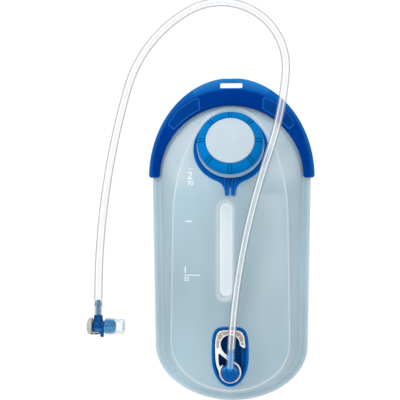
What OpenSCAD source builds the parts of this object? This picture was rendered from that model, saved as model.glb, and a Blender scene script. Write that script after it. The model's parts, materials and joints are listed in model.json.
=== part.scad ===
// Hydration bladder: a two-litre drinking reservoir with a screw cap, a stiff
// hanger arch, a quick-release outlet and a drinking hose with a bite valve.
// Millimetres. +Z is up and the front faces -Y. The origin is the centre of the
// hanging slot, on the hanger's back face. Heights named below count from the
// bottom edge of the reservoir, and the placing modules move them to the origin.

/* [Reservoir] */
// Width across the welded edge at the shoulders
bag_w = 184; // [178:1:188]
// Width across the welded edge where the round bottom starts
bag_low_w = 177; // [170:1:180]
// Height of the round bottom
bottom_h = 65; // [60:1:70]
// Height of the shoulders, which is also the centre of the hanger arch
shoulder_z = 259; // [257:1:262]
// Distance from the back film to the flat front face
bag_depth = 39; // [38:0.5:42]
// Width of the flat front face
face_w = 128; // [120:1:134]
// Height at which the front face starts to lean back
slope_z = 240; // [238:1:242]
// Angle by which the upper front face leans back
slope_angle = 20; // [19:0.5:20.5]
// Width of the flat weld round the edge
weld_w = 9; // [7:0.5:10]
// Thickness of the moulded front film
film_t = 0.8; // [0.6:0.1:1]
// Length of the tall weld that ties the two films together
tie_len = 104; // [90:1:110]
// Width of that weld
tie_w = 11; // [9:0.5:13]

/* [Hanger] */
// Width of the hanger arch
hanger_w = 193; // [192:1:197]
// Height of the hanger's flat top
hanger_top = 374.4; // [373:0.2:376]
// Radius of the arch's inner edge
arch_inner_r = 83.5; // [82:0.5:85]
// Width of the hanging slot
slot_w = 25.8; // [20:0.2:30]
// Height of the hanging slot
slot_h = 6.4; // [5:0.2:7]

/* [Filling cap] */
// Inner radius of the filling neck
neck_r = 30; // [28:0.5:31]
// Height of the neck above the film
neck_h = 18; // [17:0.5:18]
// Travel of the cap along its axis in one full turn
thread_lead = 10; // [9:0.5:10]
// Outer radius of the cap's grip ring
grip_r = 37.4; // [37:0.2:38.4]
// Radius of the clear disc in the cap
disc_r = 27.6; // [24:0.2:29]
// Height of the top of the cap above the film
cap_h = 25; // [24.6:0.2:26]

/* [Outlet port] */
// Height of the port's axis
port_z = 40; // [38:1:42]
// Half of the width of the port's rim
port_a = 20.7; // [20.5:0.1:22]
// Radius of the plug's stem
stem_r = 5.5; // [5.3:0.05:5.6]
// Radius of the plug's domed hub
hub_r = 10.2; // [9.6:0.1:10.3]

/* [Hose and mouthpiece] */
// Outer radius of the hose
hose_r = 4.5; // [4:0.1:4.8]
// Inner radius of the hose
hose_bore_r = 3.2; // [2.8:0.1:3.3]
// Forward lean of the hose's first run
hose_lean = 4; // [3.6:0.2:5]
// Radius of the mouthpiece's ball elbow
ball_r = 7.5; // [7:0.1:7.6]
// Length from the elbow's centre to the tip of the bite valve
bite_len = 29; // [27:0.5:31]

/* [Hidden] */
$fn = 96;

// Layers through the hanger, from the back: shell, back film, front film, shell
shell_back_t = 3;
weld_t = 0.6;
back_film_y = -shell_back_t - weld_t;
weld_y = back_film_y - weld_t;
face_y = -shell_back_t - bag_depth;
film_top_r = bag_w / 2;
hanger_rim_y = -6.6;
hanger_face_y = -10;
hanger_arch_h = 116;
face_bottom_h = 55;
face_bottom_z = 73;
panel_a = 62;
panel_b = 108;
tie_x = -5.7;
tie_z = 176;
slot_z = 366.2;
base_z = -slot_z;
slot_corner_r = 1.5;
pin_r = 1.5;
pin_arch_r = 88;
pin_angles = [-78, -48, -18, 18, 48, 78];
pin_y = [-8.5, -0.8];
arch_face_inset = 4;
arch_face_r = 97.5;
arch_face_z = 264.5;
pad_t = 0.8;
pad_x = 35.8;
pad_angle = 50;
pad_in_r = 86.8;
pad_inset = 7;
pad_out_h = 108;
pad_out_r = 95.2;

// Filling neck and cap, along the neck's own axis
collar_v = 54.6;
collar_r = 42.5;
collar_t = 2.5;
neck_wall = 3.5;
neck_out_r = neck_r + neck_wall;
tail_half_w = 6;
tail_len = 57;
tail_fillet_r = 16;
rail_w = 2;
rail_h = 4.5;
slit_w = 1.8;
slit_len = 9;
thread_pitch = thread_lead / 2;
thread_low_z = 5.5;
thread_root_w = 2.2;
thread_crest_w = 1.2;
thread_crest_r = neck_out_r + 1.7;
cap_thread_root_r = neck_out_r + 2.5;
cap_thread_crest_r = neck_out_r + 1.1;
gasket_t = 1.7;
cap_gap = 0.05;
cap_under_z = neck_h + gasket_t + 2 * cap_gap;
cap_deck_z = cap_under_z + 2.8;
skirt_r = cap_thread_root_r + 2.1;
skirt_low_z = 6;
skirt_top_z = 13.2;
cap_wall_r = neck_out_r + 0.8;
ring_seat_r = neck_out_r + 2.1;

// Outlet, along the port's own axis, measured out from the front face
egg_up = 34;
egg_down = 33;
egg_y = 17;
rim_h = 2.5;
port_wall = 2.4;
floor_z = -12;
boss_z = -4;
seat_z = -22;
housing_z = -37;
housing_r = 9.5;
bore_r = stem_r + 0.06;
chamber_r = 7.4;
hose_out = 8;
hub_back_z = 3.5;
stem_tip_z = -25;
barb_neck_r = 3.1;
barb_cone_r = 3.9;
barb_neck_top = 17;
barb_top = 27;
plug_bore_r = 2.7;
o_ring_r = 0.9;
o_ring_z = [-8, -14];
o_ring_mid_r = bore_r - o_ring_r - 0.02;
poppet_z = stem_tip_z - 0.2;
poppet_t = 1.6;
guide_r = 1.6;
spring_wire_r = 0.35;
spring_mid_r = 4.4;
latch_t = 3;
latch_pivot_y = 30;

// Hose centre line: [radius, turn] of each run, where a positive turn is to the left
hose_runs = [[808, -15.8], [357, 14.2], [71.6, 123.9], [142, 44.7], [838, 16]];
hose_tilt = 3;
hose_low = 6;
hose_first = 28;
hose_last = 18;
half_gap = 7;
seam = 0.02;
mitre = hose_r * tan(hose_lean) + seam;
low_bend = 60;
end_bend = 117;

// Mouthpiece, from the ball's centre
elbow_drop = 12.5;
mouth_bore_r = 1.8;
elbow_collar_r = 4.9;
barb_stem_r = 3.2;
barrel_r = 4.4;
barrel_groove_x = [-4.6, 3.6];
knob_r = 9.3;
core_r = 7.9;
core_x = [7.4, 19.3];

film_c = [0.68, 0.78, 0.83, 0.6];
deep_blue = [0.0, 0.23, 0.50];
mid_blue = [0.02, 0.42, 0.74];
hose_c = [0.9, 0.93, 0.95, 0.5];

// ---------- outlines ----------

function ellipse_arc(a, b, cz, from, to, n) =
    [for (i = [0 : n]) let (t = from + (to - from) * i / n) [a * cos(t), cz + b * sin(t)]];

function film_outline(inset) = concat(
    ellipse_arc(bag_low_w / 2 - inset, bottom_h - inset, bottom_h, 180, 360, 36),
    ellipse_arc(film_top_r - inset, film_top_r - inset, shoulder_z, 0, 180, 36));

function face_outline(inset) = concat(
    ellipse_arc(face_w / 2 - inset, face_bottom_h - inset, face_bottom_z, 180, 360, 28),
    [[face_w / 2 - inset, slope_z], [inset - face_w / 2, slope_z]]);

// Rim of the port: squarer above its widest line, an ellipse below it
function egg_outline(inset) = [for (t = [0 : 5 : 355])
    let (n = sin(t) >= 0 ? 3.5 : 2, b = sin(t) >= 0 ? egg_up : egg_down)
    [sign(cos(t)) * (port_a - inset) * pow(abs(cos(t)), 2 / n),
        egg_y + sign(sin(t)) * (b - inset) * pow(abs(sin(t)), 2 / n)]];

// ---------- placing ----------

// Stands an outline drawn in X and Z upright, between two depths
module upright(y_front, y_back) {
    translate([0, y_back, base_z]) rotate([90, 0, 0]) linear_extrude(y_back - y_front) children();
}

// Puts a piece on the leaning part of the front face, with its own +Z out of the film
module on_slope(v) {
    translate([0, face_y + v * sin(slope_angle), base_z + slope_z + v * cos(slope_angle)])
        rotate([90 - slope_angle, 0, 0]) children();
}

// Puts a piece on the port's axis, with its own +Z out of the front face
module on_port() {
    translate([0, face_y, base_z + port_z]) rotate([90, 0, 0]) children();
}

module ring(r_in, r_out, z_low, z_high) {
    translate([0, 0, z_low]) difference() {
        cylinder(r = r_out, h = z_high - z_low);
        translate([0, 0, -1]) cylinder(r = r_in, h = z_high - z_low + 2);
    }
}

// ---------- reservoir ----------

// Body of the filled reservoir, shrunk by gap for its inside
module film_body(gap) {
    hull() {
        upright(weld_y, back_film_y + min(gap, 0.1)) polygon(film_outline(weld_w + gap));
        upright(face_y + gap, face_y + gap + 0.5) polygon(face_outline(gap));
        on_slope(0) translate([0, 0, -gap - 0.5]) linear_extrude(0.5)
            polygon(ellipse_arc(panel_a - gap, panel_b - gap, 0, 0, 180, 24));
    }
}

module tie_outline(grow) {
    r = tie_w / 2 + grow;
    straight = tie_len - tie_w;
    translate([tie_x, tie_z]) {
        square([2 * r, straight], center = true);
        for (side = [-1, 1]) translate([0, side * straight / 2]) circle(r = r);
    }
}

module pin_holes(y_front, y_back) {
    for (a = pin_angles)
        translate([pin_arch_r * sin(a), y_back, base_z + shoulder_z + pin_arch_r * cos(a)])
            rotate([90, 0, 0]) cylinder(r = pin_r, h = y_back - y_front);
}

module back_film() color(film_c) {
    difference() {
        upright(back_film_y, -shell_back_t) polygon(film_outline(0));
        pin_holes(back_film_y - 1, 1);
    }
}

module front_film() color(film_c) {
    difference() {
        union() {
            upright(weld_y, back_film_y) polygon(film_outline(0));
            film_body(0);
        }
        difference() {
            film_body(film_t);
            upright(face_y - 1, back_film_y + 1) tie_outline(film_t);
        }
        upright(face_y - 1, weld_y) tie_outline(0);
        on_slope(collar_v) translate([0, 0, -10]) cylinder(r = neck_out_r + 0.1, h = 20);
        on_port() translate([0, 0, -5]) linear_extrude(10) polygon(egg_outline(0.5));
        pin_holes(weld_y - 1, back_film_y + 1);
    }
}

// ---------- hanger ----------

module arch_outline() {
    difference() {
        intersection() {
            polygon(ellipse_arc(hanger_w / 2, hanger_arch_h, shoulder_z, 0, 180, 60));
            translate([-hanger_w / 2, shoulder_z]) square([hanger_w, hanger_top - shoulder_z]);
        }
        translate([0, shoulder_z]) circle(r = arch_inner_r);
    }
}

// The raised dark face of the arch, which ends below the slot
module arch_face_outline() {
    intersection() {
        arch_outline();
        polygon(ellipse_arc(hanger_w / 2 - arch_face_inset, hanger_arch_h - arch_face_inset,
            shoulder_z, 0, 180, 60));
        translate([0, arch_face_z]) circle(r = arch_face_r);
    }
}

module slot_outline() {
    translate([0, slot_z]) {
        square([slot_w - 2 * slot_corner_r, slot_h], center = true);
        square([slot_w, slot_h - 2 * slot_corner_r], center = true);
        for (sx = [-1, 1], sz = [-1, 1])
            translate([sx * (slot_w / 2 - slot_corner_r), sz * (slot_h / 2 - slot_corner_r)])
                circle(r = slot_corner_r);
    }
}

module hanger_back() color(deep_blue) {
    difference() {
        upright(-shell_back_t, 0) difference() {
            arch_outline();
            slot_outline();
        }
        pin_holes(-shell_back_t - 1, pin_y[1]);
    }
}

module hanger_front() color(deep_blue) {
    difference() {
        union() {
            upright(hanger_rim_y, weld_y) arch_outline();
            upright(hanger_face_y, hanger_rim_y) arch_face_outline();
            upright(weld_y, -shell_back_t) difference() {
                arch_outline();
                polygon(film_outline(-0.2));
            }
        }
        upright(hanger_face_y - 1, 0) slot_outline();
        pin_holes(pin_y[0], 0);
    }
}

module hanger_pins() color("silver") pin_holes(pin_y[0], pin_y[1]);

module grip_pad() color([0.02, 0.27, 0.59]) {
    tan_x = pad_x / tan(pad_angle);
    upright(hanger_face_y - pad_t, hanger_face_y) intersection() {
        difference() {
            intersection() {
                polygon(ellipse_arc(hanger_w / 2 - pad_inset, pad_out_h, shoulder_z, 0, 180, 60));
                translate([0, arch_face_z]) circle(r = pad_out_r);
            }
            translate([0, shoulder_z]) circle(r = pad_in_r);
        }
        translate([0, shoulder_z]) polygon([[pad_x, tan_x], [pad_x, 200],
            [200 * sin(pad_angle), 200 * cos(pad_angle)]]);
    }
}

module grip_pad_left() mirror([1, 0, 0]) grip_pad();
module grip_pad_right() grip_pad();

// ---------- filling neck and cap ----------

// Teardrop flange: a disc that runs down into a narrow tail through two fillets
module collar_outline() {
    fx = tail_half_w + tail_fillet_r;
    fy = -sqrt(pow(collar_r + tail_fillet_r, 2) - fx * fx);
    touch = collar_r / (collar_r + tail_fillet_r);
    circle(r = collar_r);
    translate([-tail_half_w, -tail_len]) square([2 * tail_half_w, tail_len]);
    difference() {
        polygon([[-fx * touch, fy * touch], [fx * touch, fy * touch], [fx, fy], [-fx, fy]]);
        for (side = [-1, 1]) translate([side * fx, fy]) circle(r = tail_fillet_r);
    }
}

// One helical thread of trapezium section, as points and triangles
function thread_points(r_root, r_crest, z_low, from, sweep, steps) = [
    for (i = [0 : steps]) let (a = from + sweep * i / steps, z = z_low + thread_lead * a / 360)
    let (out = sign(r_root - r_crest))
    for (p = [[r_root, -out * thread_root_w / 2], [r_crest, -out * thread_crest_w / 2],
            [r_crest, out * thread_crest_w / 2], [r_root, out * thread_root_w / 2]])
        [p[0] * cos(a), p[0] * sin(a), z + p[1]]];

function tube_faces(steps, n) = concat(
    [[for (j = [0 : n - 1]) j]],
    [for (i = [0 : steps - 1], j = [0 : n - 1]) let (k = (j + 1) % n)
        [n * i + j, n * (i + 1) + j, n * (i + 1) + k]],
    [for (i = [0 : steps - 1], j = [0 : n - 1]) let (k = (j + 1) % n)
        [n * i + j, n * (i + 1) + k, n * i + k]],
    [[for (j = [n - 1 : -1 : 0]) n * steps + j]]);

// Two equal threads, half a turn apart
module threads(r_root, r_crest, z_low, from, sweep) {
    steps = ceil(sweep / 10);
    for (start = [0, 180]) rotate([0, 0, start])
        polyhedron(thread_points(r_root, r_crest, z_low, from, sweep, steps),
            tube_faces(steps, 4));
}

module fill_collar() color([0.02, 0.35, 0.69]) on_slope(collar_v) {
    difference() {
        union() {
            translate([0, 0, seam]) linear_extrude(collar_t - seam) collar_outline();
            ring(neck_out_r - 1, neck_out_r + 4.5, -3, -film_t - 0.05);
            translate([0, 0, -3]) cylinder(r = neck_out_r, h = neck_h + 3);
            for (side = [-1, 1])
                translate([side * (tail_half_w - rail_w / 2) - rail_w / 2, -tail_len, collar_t / 2])
                    cube([rail_w, tail_len - collar_r + 3, rail_h - collar_t / 2]);
            threads(neck_out_r - 0.4, thread_crest_r, thread_low_z, 0, 200);
        }
        translate([0, 0, -4]) cylinder(r = neck_r, h = neck_h + 5);
        translate([-slit_w / 2, -tail_len - 1, -1]) cube([slit_w, slit_len + 1, rail_h + 2]);
    }
}

module cap_gasket() color("white") on_slope(collar_v)
    ring(neck_r - 0.2, neck_out_r - 0.1, neck_h + cap_gap, neck_h + cap_gap + gasket_t);

module cap_body() color([0.82, 0.88, 0.91, 0.8]) on_slope(collar_v) {
    rotate_extrude() polygon([[0, cap_under_z], [cap_wall_r, cap_under_z],
        [cap_wall_r, skirt_top_z + 1], [cap_thread_root_r, skirt_top_z],
        [cap_thread_root_r, skirt_low_z], [skirt_r, skirt_low_z],
        [skirt_r, skirt_top_z], [ring_seat_r, skirt_top_z + 0.8],
        [ring_seat_r, cap_deck_z], [disc_r, cap_deck_z], [disc_r, cap_h], [0, cap_h]]);
    ring(neck_r - 3, neck_r - 0.6, cap_under_z - 5, cap_under_z + 0.5);
    threads(cap_thread_root_r + 0.4, cap_thread_crest_r, thread_low_z + thread_pitch / 2, 20, 150);
}

module cap_grip_ring() color(mid_blue) on_slope(collar_v) {
    low_z = skirt_top_z + 1.2;
    difference() {
        rotate_extrude() polygon([[ring_seat_r, low_z], [grip_r, low_z], [grip_r, 18.5],
            [grip_r - 0.3, 20.8], [grip_r - 1.3, 22.8], [grip_r - 3.2, 24.3],
            [grip_r - 6, cap_h], [disc_r + 0.8, cap_h], [disc_r, cap_h - 0.5],
            [disc_r, cap_deck_z], [ring_seat_r, cap_deck_z]]);
        for (a = [0 : 45 : 315], off = [-1.6, 1.6]) rotate([0, 0, a])
            translate([grip_r - 7.5, off - 0.4, cap_h - 0.6]) cube([3.5, 0.8, 2]);
    }
}

// ---------- outlet port ----------

module egg(inset, z_low, z_high) {
    translate([0, 0, z_low]) linear_extrude(z_high - z_low) polygon(egg_outline(inset));
}

module port_base() color([0.0, 0.33, 0.62]) on_port() {
    pocket_low = [-13, 10.6, -22.8];
    pocket_high = [-6.2, 24, -10];
    shell = 1.2;
    difference() {
        union() {
            egg(0.6, floor_z - 2, 0);
            egg(0, 0, rim_h);
            translate([0, 0, housing_z]) cylinder(r = housing_r, h = floor_z - housing_z);
            translate([pocket_low.x - shell, pocket_low.y - shell, pocket_low.z - shell])
                cube([pocket_high.x - pocket_low.x + 2 * shell,
                    pocket_high.y - pocket_low.y + 2 * shell, floor_z - pocket_low.z]);
        }
        difference() {
            egg(0.6 + port_wall, floor_z, 10);
            translate([0, 0, floor_z - 1]) cylinder(r = 8.5, h = boss_z - floor_z + 1);
            for (side = [-1, 1]) translate([side * 20, egg_y, floor_z + 1.5])
                cube([15, 60, 9], center = true);
        }
        translate([0, 0, housing_z - 1]) cylinder(r = chamber_r, h = seat_z - housing_z + 1);
        translate([0, 0, seat_z - 1]) cylinder(r = bore_r, h = 30);
        translate(pocket_low) cube(pocket_high - pocket_low);
        translate([0, latch_pivot_y, 0]) rotate([0, 90, 0])
            cylinder(r = 1.1, h = 38.4, center = true);
    }
}

module port_retainer() color("gainsboro") on_port() {
    difference() {
        union() {
            translate([0, 0, housing_z + 0.5]) cylinder(r = chamber_r, h = 1.7);
            translate([0, 0, housing_z + 0.5]) cylinder(r = 2.9, h = 4.5);
        }
        translate([0, 0, housing_z - 1]) cylinder(r = guide_r + 0.06, h = 10);
        for (a = [0 : 60 : 300]) rotate([0, 0, a])
            translate([5.2, 0, housing_z - 1]) cylinder(r = 1.2, h = 4);
    }
}

module port_seal() color("white") on_port() ring(bore_r + 0.2, chamber_r, seat_z - 0.9, seat_z);

module poppet() color("white") on_port() {
    translate([0, 0, poppet_z - poppet_t]) cylinder(r = 6.6, h = poppet_t);
    translate([0, 0, housing_z + 1]) cylinder(r = guide_r, h = poppet_z - housing_z - 2);
}

// Points of a round wire wound into a coil
function coil_points(r, wire_r, z_low, z_high, turns, steps, n) = [
    for (i = [0 : steps])
    let (a = 360 * turns * i / steps, z = z_low + (z_high - z_low) * i / steps)
    for (j = [0 : n - 1]) let (b = -360 * j / n, q = r + wire_r * cos(b))
        [q * cos(a), q * sin(a), z + wire_r * sin(b)]];

module poppet_spring() color("silver") on_port() {
    turns = 5;
    steps = turns * 20;
    polyhedron(coil_points(spring_mid_r, spring_wire_r, housing_z + 2.6,
        poppet_z - poppet_t - 0.4, turns, steps, 6), tube_faces(steps, 6));
}

// The latch is one flat spring part: an arch to press, a brace and a ring round the hub
module latch_outline() {
    difference() {
        circle(r = 12.5);
        circle(r = hub_r + 0.3);
        polygon([[0, 0], [20 * cos(73), 20 * sin(73)], [20 * cos(105), 20 * sin(105)],
            [20 * cos(137), 20 * sin(137)]]);
    }
    polygon([[-16.9, 30], [-16.9, 22], [-16.4, 12], [-14.6, 5], [-12.4, 0], [-10.9, 1],
        [-11, 4.4], [-12.6, 8], [-13.1, 14], [-13.1, 30]]);
    difference() {
        intersection() {
            polygon(egg_outline(3.8));
            translate([-20, 24]) square([40, 40]);
        }
        translate([0, 31]) circle(r = 10.8);
        translate([-10.8, 20]) square([21.6, 11]);
        polygon([[10, 31], [17.5, 24.6], [17.5, 20], [10, 20]]);
    }
}

module latch_brace_outline() {
    polygon([[-10.8, 34], [-9.6, 27.4], [-6.3, 21.2], [4.6, 11.6], [3.1, 10.1],
        [-7.4, 17.3], [-13.1, 23.5], [-13.1, 30]]);
}

module latch_plate() color("whitesmoke") on_port() {
    translate([0, 0, -latch_t / 2]) linear_extrude(latch_t) latch_outline();
    translate([0, 0, -latch_t / 2]) linear_extrude(latch_t - 1.2) latch_brace_outline();
    for (side = [-1, 1]) translate([side * 17.3, latch_pivot_y, 0]) rotate([0, 90, 0])
        cylinder(r = 1, h = 3, center = true);
}

module plug_o_rings() color("black") on_port() {
    for (z = o_ring_z) translate([0, 0, z]) rotate_extrude() translate([o_ring_mid_r, 0])
        circle(r = o_ring_r);
}

// Hose barb along +Z: a neck, then a cone that grips the hose
module barb(low, neck_top, top, r_neck, r_cone) {
    translate([0, 0, low]) cylinder(r = r_neck, h = neck_top - low);
    translate([0, 0, neck_top]) rotate_extrude()
        polygon([[0, 0], [r_cone, 0], [r_cone, 1.5], [r_neck - 0.3, top - neck_top],
            [0, top - neck_top]]);
}

module plug_elbow() color([0.02, 0.4, 0.68]) {
    difference() {
        union() {
            on_port() plug_turned();
            on_barb() barb(0, barb_neck_top, barb_top, barb_neck_r, barb_cone_r);
        }
        on_port() translate([0, 0, stem_tip_z - 1])
            cylinder(r = plug_bore_r, h = hose_out - stem_tip_z + 2.5);
        on_barb() cylinder(r = 2, h = 30);
    }
}

// The turned part of the plug: hub, neck and stem with its grooves
module plug_turned() {
    difference() {
        union() {
            rotate_extrude() polygon([[0, 12], [4, 11.8], [7, 11.1], [9, 9.8], [10, 8],
                [hub_r, 6], [hub_r, 4.2], [hub_r - 0.7, hub_back_z], [0, hub_back_z]]);
            translate([0, 0, -3.7]) cylinder(r = 7, h = hub_back_z + 3.7);
            translate([0, 0, stem_tip_z]) cylinder(r = stem_r, h = -stem_tip_z);
        }
        ring(6.2, 8, -1.5, 1.5);
        for (z = o_ring_z) ring(o_ring_mid_r - o_ring_r - 0.02, 8, z - 1.1, z + 1.1);
        for (a = [0, 120, 240]) rotate([0, 0, a]) translate([0, -0.8, stem_tip_z - 1])
            cube([8, 1.6, 3]);
    }
}

// ---------- hose ----------

// State of the centre line in its plane: [across, up, heading]
function run_end(p, run, part) = let (turn = run[1] * part, side = sign(run[1]),
        cx = p[0] - side * run[0] * sin(p[2]), cz = p[1] + side * run[0] * cos(p[2]))
    [cx + side * run[0] * sin(p[2] + turn), cz - side * run[0] * cos(p[2] + turn), p[2] + turn];
function run_start(i) = i == 0
    ? [hose_first * sin(hose_tilt), hose_first * cos(hose_tilt), 90 - hose_tilt]
    : run_end(run_start(i - 1), hose_runs[i - 1], 1);

// The first run lies in a plane that leans forward, and the rest in an upright plane
lean_top = run_start(1);
module hose_plane(i) {
    if (i == 0) translate([0, face_y - hose_out, base_z + port_z]) rotate([90 + hose_lean, 0, 0])
        children();
    else translate([0, face_y - hose_out - lean_top[1] * sin(hose_lean),
            base_z + port_z - lean_top[1] * (1 - cos(hose_lean))]) rotate([90, 0, 0]) children();
}
function run_len(i) = hose_runs[i][0] * abs(hose_runs[i][1]) * PI / 180;

// Puts a piece on the barb's axis, with its own +Z along the hose
module on_barb() {
    hose_plane(0) rotate([0, 0, -hose_tilt]) rotate([-90, 0, 0]) children();
}

// Tube along one run between two lengths from its start
module run_tube(i, from, to) {
    run = hose_runs[i];
    p = run_end(run_start(i), run, from / run_len(i));
    side = sign(run[1]);
    sweep = side * run[1] * (to - from) / run_len(i);
    hose_plane(i) translate([p[0], p[1], 0]) rotate([0, 0, p[2]])
        translate([0, side * run[0], 0]) rotate([0, 0, side > 0 ? -90 : 90 - sweep])
            rotate_extrude(angle = sweep) translate([run[0], 0]) difference() {
                circle(r = hose_r);
                circle(r = hose_bore_r);
            }
}

module hose_root() color(hose_c) {
    run_tube(0, seam, low_bend - half_gap);
    difference() {
        on_barb() translate([0, 0, hose_low]) cylinder(r = hose_r + 0.3, h = hose_first - hose_low);
        on_barb() translate([0, 0, -1]) cylinder(r = hose_bore_r, h = 40);
        on_barb() barb(0, barb_neck_top - 0.1, barb_top + 0.3, barb_neck_r + 0.06, barb_cone_r + 0.06);
        on_port() translate([0, 0, hub_back_z]) cylinder(r = hub_r + 0.1, h = 20);
    }
}
module hose_bend_low() color(hose_c) run_tube(0, low_bend - half_gap, low_bend + half_gap);
module hose_rise() color(hose_c) run_tube(0, low_bend + half_gap, run_len(0) - mitre);
module hose_bend_mid() color(hose_c) run_tube(1, 0, 2 * half_gap);
module hose_arch() color(hose_c) {
    run_tube(1, 2 * half_gap, run_len(1) - seam);
    run_tube(2, 0, run_len(2) - seam);
}
module hose_bend_high() color(hose_c) run_tube(3, 0, 2 * half_gap);
module hose_fall() color(hose_c) {
    run_tube(3, 2 * half_gap, run_len(3) - seam);
    run_tube(4, 0, end_bend - half_gap);
}
module hose_bend_end() color(hose_c) run_tube(4, end_bend - half_gap, end_bend + half_gap);
module hose_end() color(hose_c) {
    run_tube(4, end_bend + half_gap, run_len(4) - seam);
    difference() {
        on_mouth() translate([0, 0, elbow_drop]) cylinder(r = hose_r + 0.3, h = hose_last);
        on_mouth() cylinder(r = hose_bore_r, h = 40);
        on_mouth() translate([0, 0, elbow_drop])
            barb(-1, 9.9, 16.6, barb_neck_r + 0.06, barb_cone_r + 0.06);
    }
}

// ---------- mouthpiece ----------

module on_mouth() {
    tip = run_start(5);
    hose_plane(4) translate([tip[0], tip[1] - hose_last - elbow_drop, 0]) rotate([-90, 0, 0])
        children();
}

module hose_barb() color([0.05, 0.42, 0.60]) on_mouth() difference() {
    union() {
        translate([0, 0, 5.5]) cylinder(r = barb_stem_r, h = 9);
        translate([0, 0, elbow_drop + 0.1]) barb(0, 9.9, 16.4, barb_neck_r, barb_cone_r);
    }
    translate([0, 0, 4]) cylinder(r = mouth_bore_r, h = 30);
}

module bite_elbow() color([0.09, 0.34, 0.55]) on_mouth() difference() {
    union() {
        rotate([0, 90, 0]) rotate_extrude() {
            intersection() {
                circle(r = ball_r);
                translate([1, -ball_r]) square([ball_r, 2 * ball_r]);
            }
            translate([1, 0]) square([5.3, core_x[0] - 0.1]);
        }
        translate([0, 0, 3]) cylinder(r = elbow_collar_r, h = elbow_drop - 3.1);
        translate([4.3, 0, -5]) rotate([0, 90, 0]) linear_extrude(3.6, center = true)
            polygon([[0, -4], [0, 4], [4.5, 2.2], [7.5, 0], [4.5, -2.2]]);
    }
    translate([0, 0, 5.3]) cylinder(r = barb_stem_r + 0.06, h = 10);
    cylinder(r = mouth_bore_r, h = 8);
    translate([-10, 0, 0]) rotate([0, 90, 0]) cylinder(r = barrel_r + 0.06, h = 30);
}

module valve_barrel() color("gainsboro") on_mouth() difference() {
    translate([-9, 0, 0]) rotate([0, 90, 0]) cylinder(r = barrel_r, h = 16);
    rotate([0, 90, 0]) cylinder(r = 2.4, h = 10);
    cylinder(r = mouth_bore_r, h = 8);
    for (x = barrel_groove_x) translate([x, 0, 0]) rotate([0, 90, 0])
        ring(barrel_r - 0.9, barrel_r + 1, -0.6, 0.6);
}

module barrel_o_rings() color("black") on_mouth() {
    for (x = barrel_groove_x) translate([x, 0, 0]) rotate([0, 90, 0])
        ring(barrel_r - 0.88, barrel_r + 0.03, -0.55, 0.55);
}

module shutoff_knob() color([0.78, 0.79, 0.79]) on_mouth() difference() {
    union() {
        translate([-11.7, 0, 0]) rotate([0, 90, 0]) rotate_extrude()
            polygon([[0, 0], [7.6, 0], [knob_r, 2], [knob_r, 6.2], [knob_r - 1.2, 6.2],
                [knob_r - 1.4, 2.6], [0, 2.6]]);
        translate([-7, 0, 0]) rotate([0, 90, 0]) rotate([0, 0, -38])
            rotate_extrude(angle = 76) translate([knob_r - 1, 0]) square([0.9, 9]);
    }
    for (y = [-3.2, 0.6]) translate([-4.2, y, -12]) cube([4.8, 2.6, 6]);
}

module bite_core() color([0.2, 0.55, 0.72]) on_mouth() rotate([0, 90, 0])
    rotate_extrude() polygon([[2, core_x[0]], [core_r, core_x[0]], [core_r, core_x[1] - 4],
        [core_r - 2.4, core_x[1] - 0.8], [core_r - 3.6, core_x[1]], [2, core_x[1]]]);

module bite_sheath() color([0.85, 0.92, 0.94, 0.5]) on_mouth() rotate([0, 90, 0]) difference() {
    x = core_x[0];
    end = bite_len;
    rotate_extrude() polygon([[core_r + 0.05, x + 0.6], [core_r + 0.9, x + 0.6],
        [core_r + 1, core_x[1] - 3.5], [core_r - 0.3, end - 7], [core_r - 0.5, end - 5.5],
        [core_r + 0.4, end - 3.4], [core_r + 0.4, end - 1.4], [core_r - 0.8, end], [0, end],
        [0, end - 1.5], [core_r - 2.6, end - 2], [core_r - 2.6, core_x[1] + 0.2],
        [core_r - 2.4, core_x[1] - 0.6], [core_r + 0.05, core_x[1] - 3.9]]);
    translate([0, 0, end - 1]) cube([0.3, 9, 4], center = true);
}

back_film();
front_film();
hanger_back();
hanger_front();
grip_pad_left();
grip_pad_right();
hanger_pins();
fill_collar();
cap_gasket();
cap_body();
cap_grip_ring();
port_base();
port_retainer();
port_seal();
poppet();
poppet_spring();
latch_plate();
plug_o_rings();
plug_elbow();
hose_root();
hose_bend_low();
hose_rise();
hose_bend_mid();
hose_arch();
hose_bend_high();
hose_fall();
hose_bend_end();
hose_end();
hose_barb();
bite_elbow();
valve_barrel();
barrel_o_rings();
shutoff_knob();
bite_core();
bite_sheath();
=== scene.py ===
import json
import math

import bmesh
import bpy
import numpy as np
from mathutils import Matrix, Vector, kdtree, noise


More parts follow.
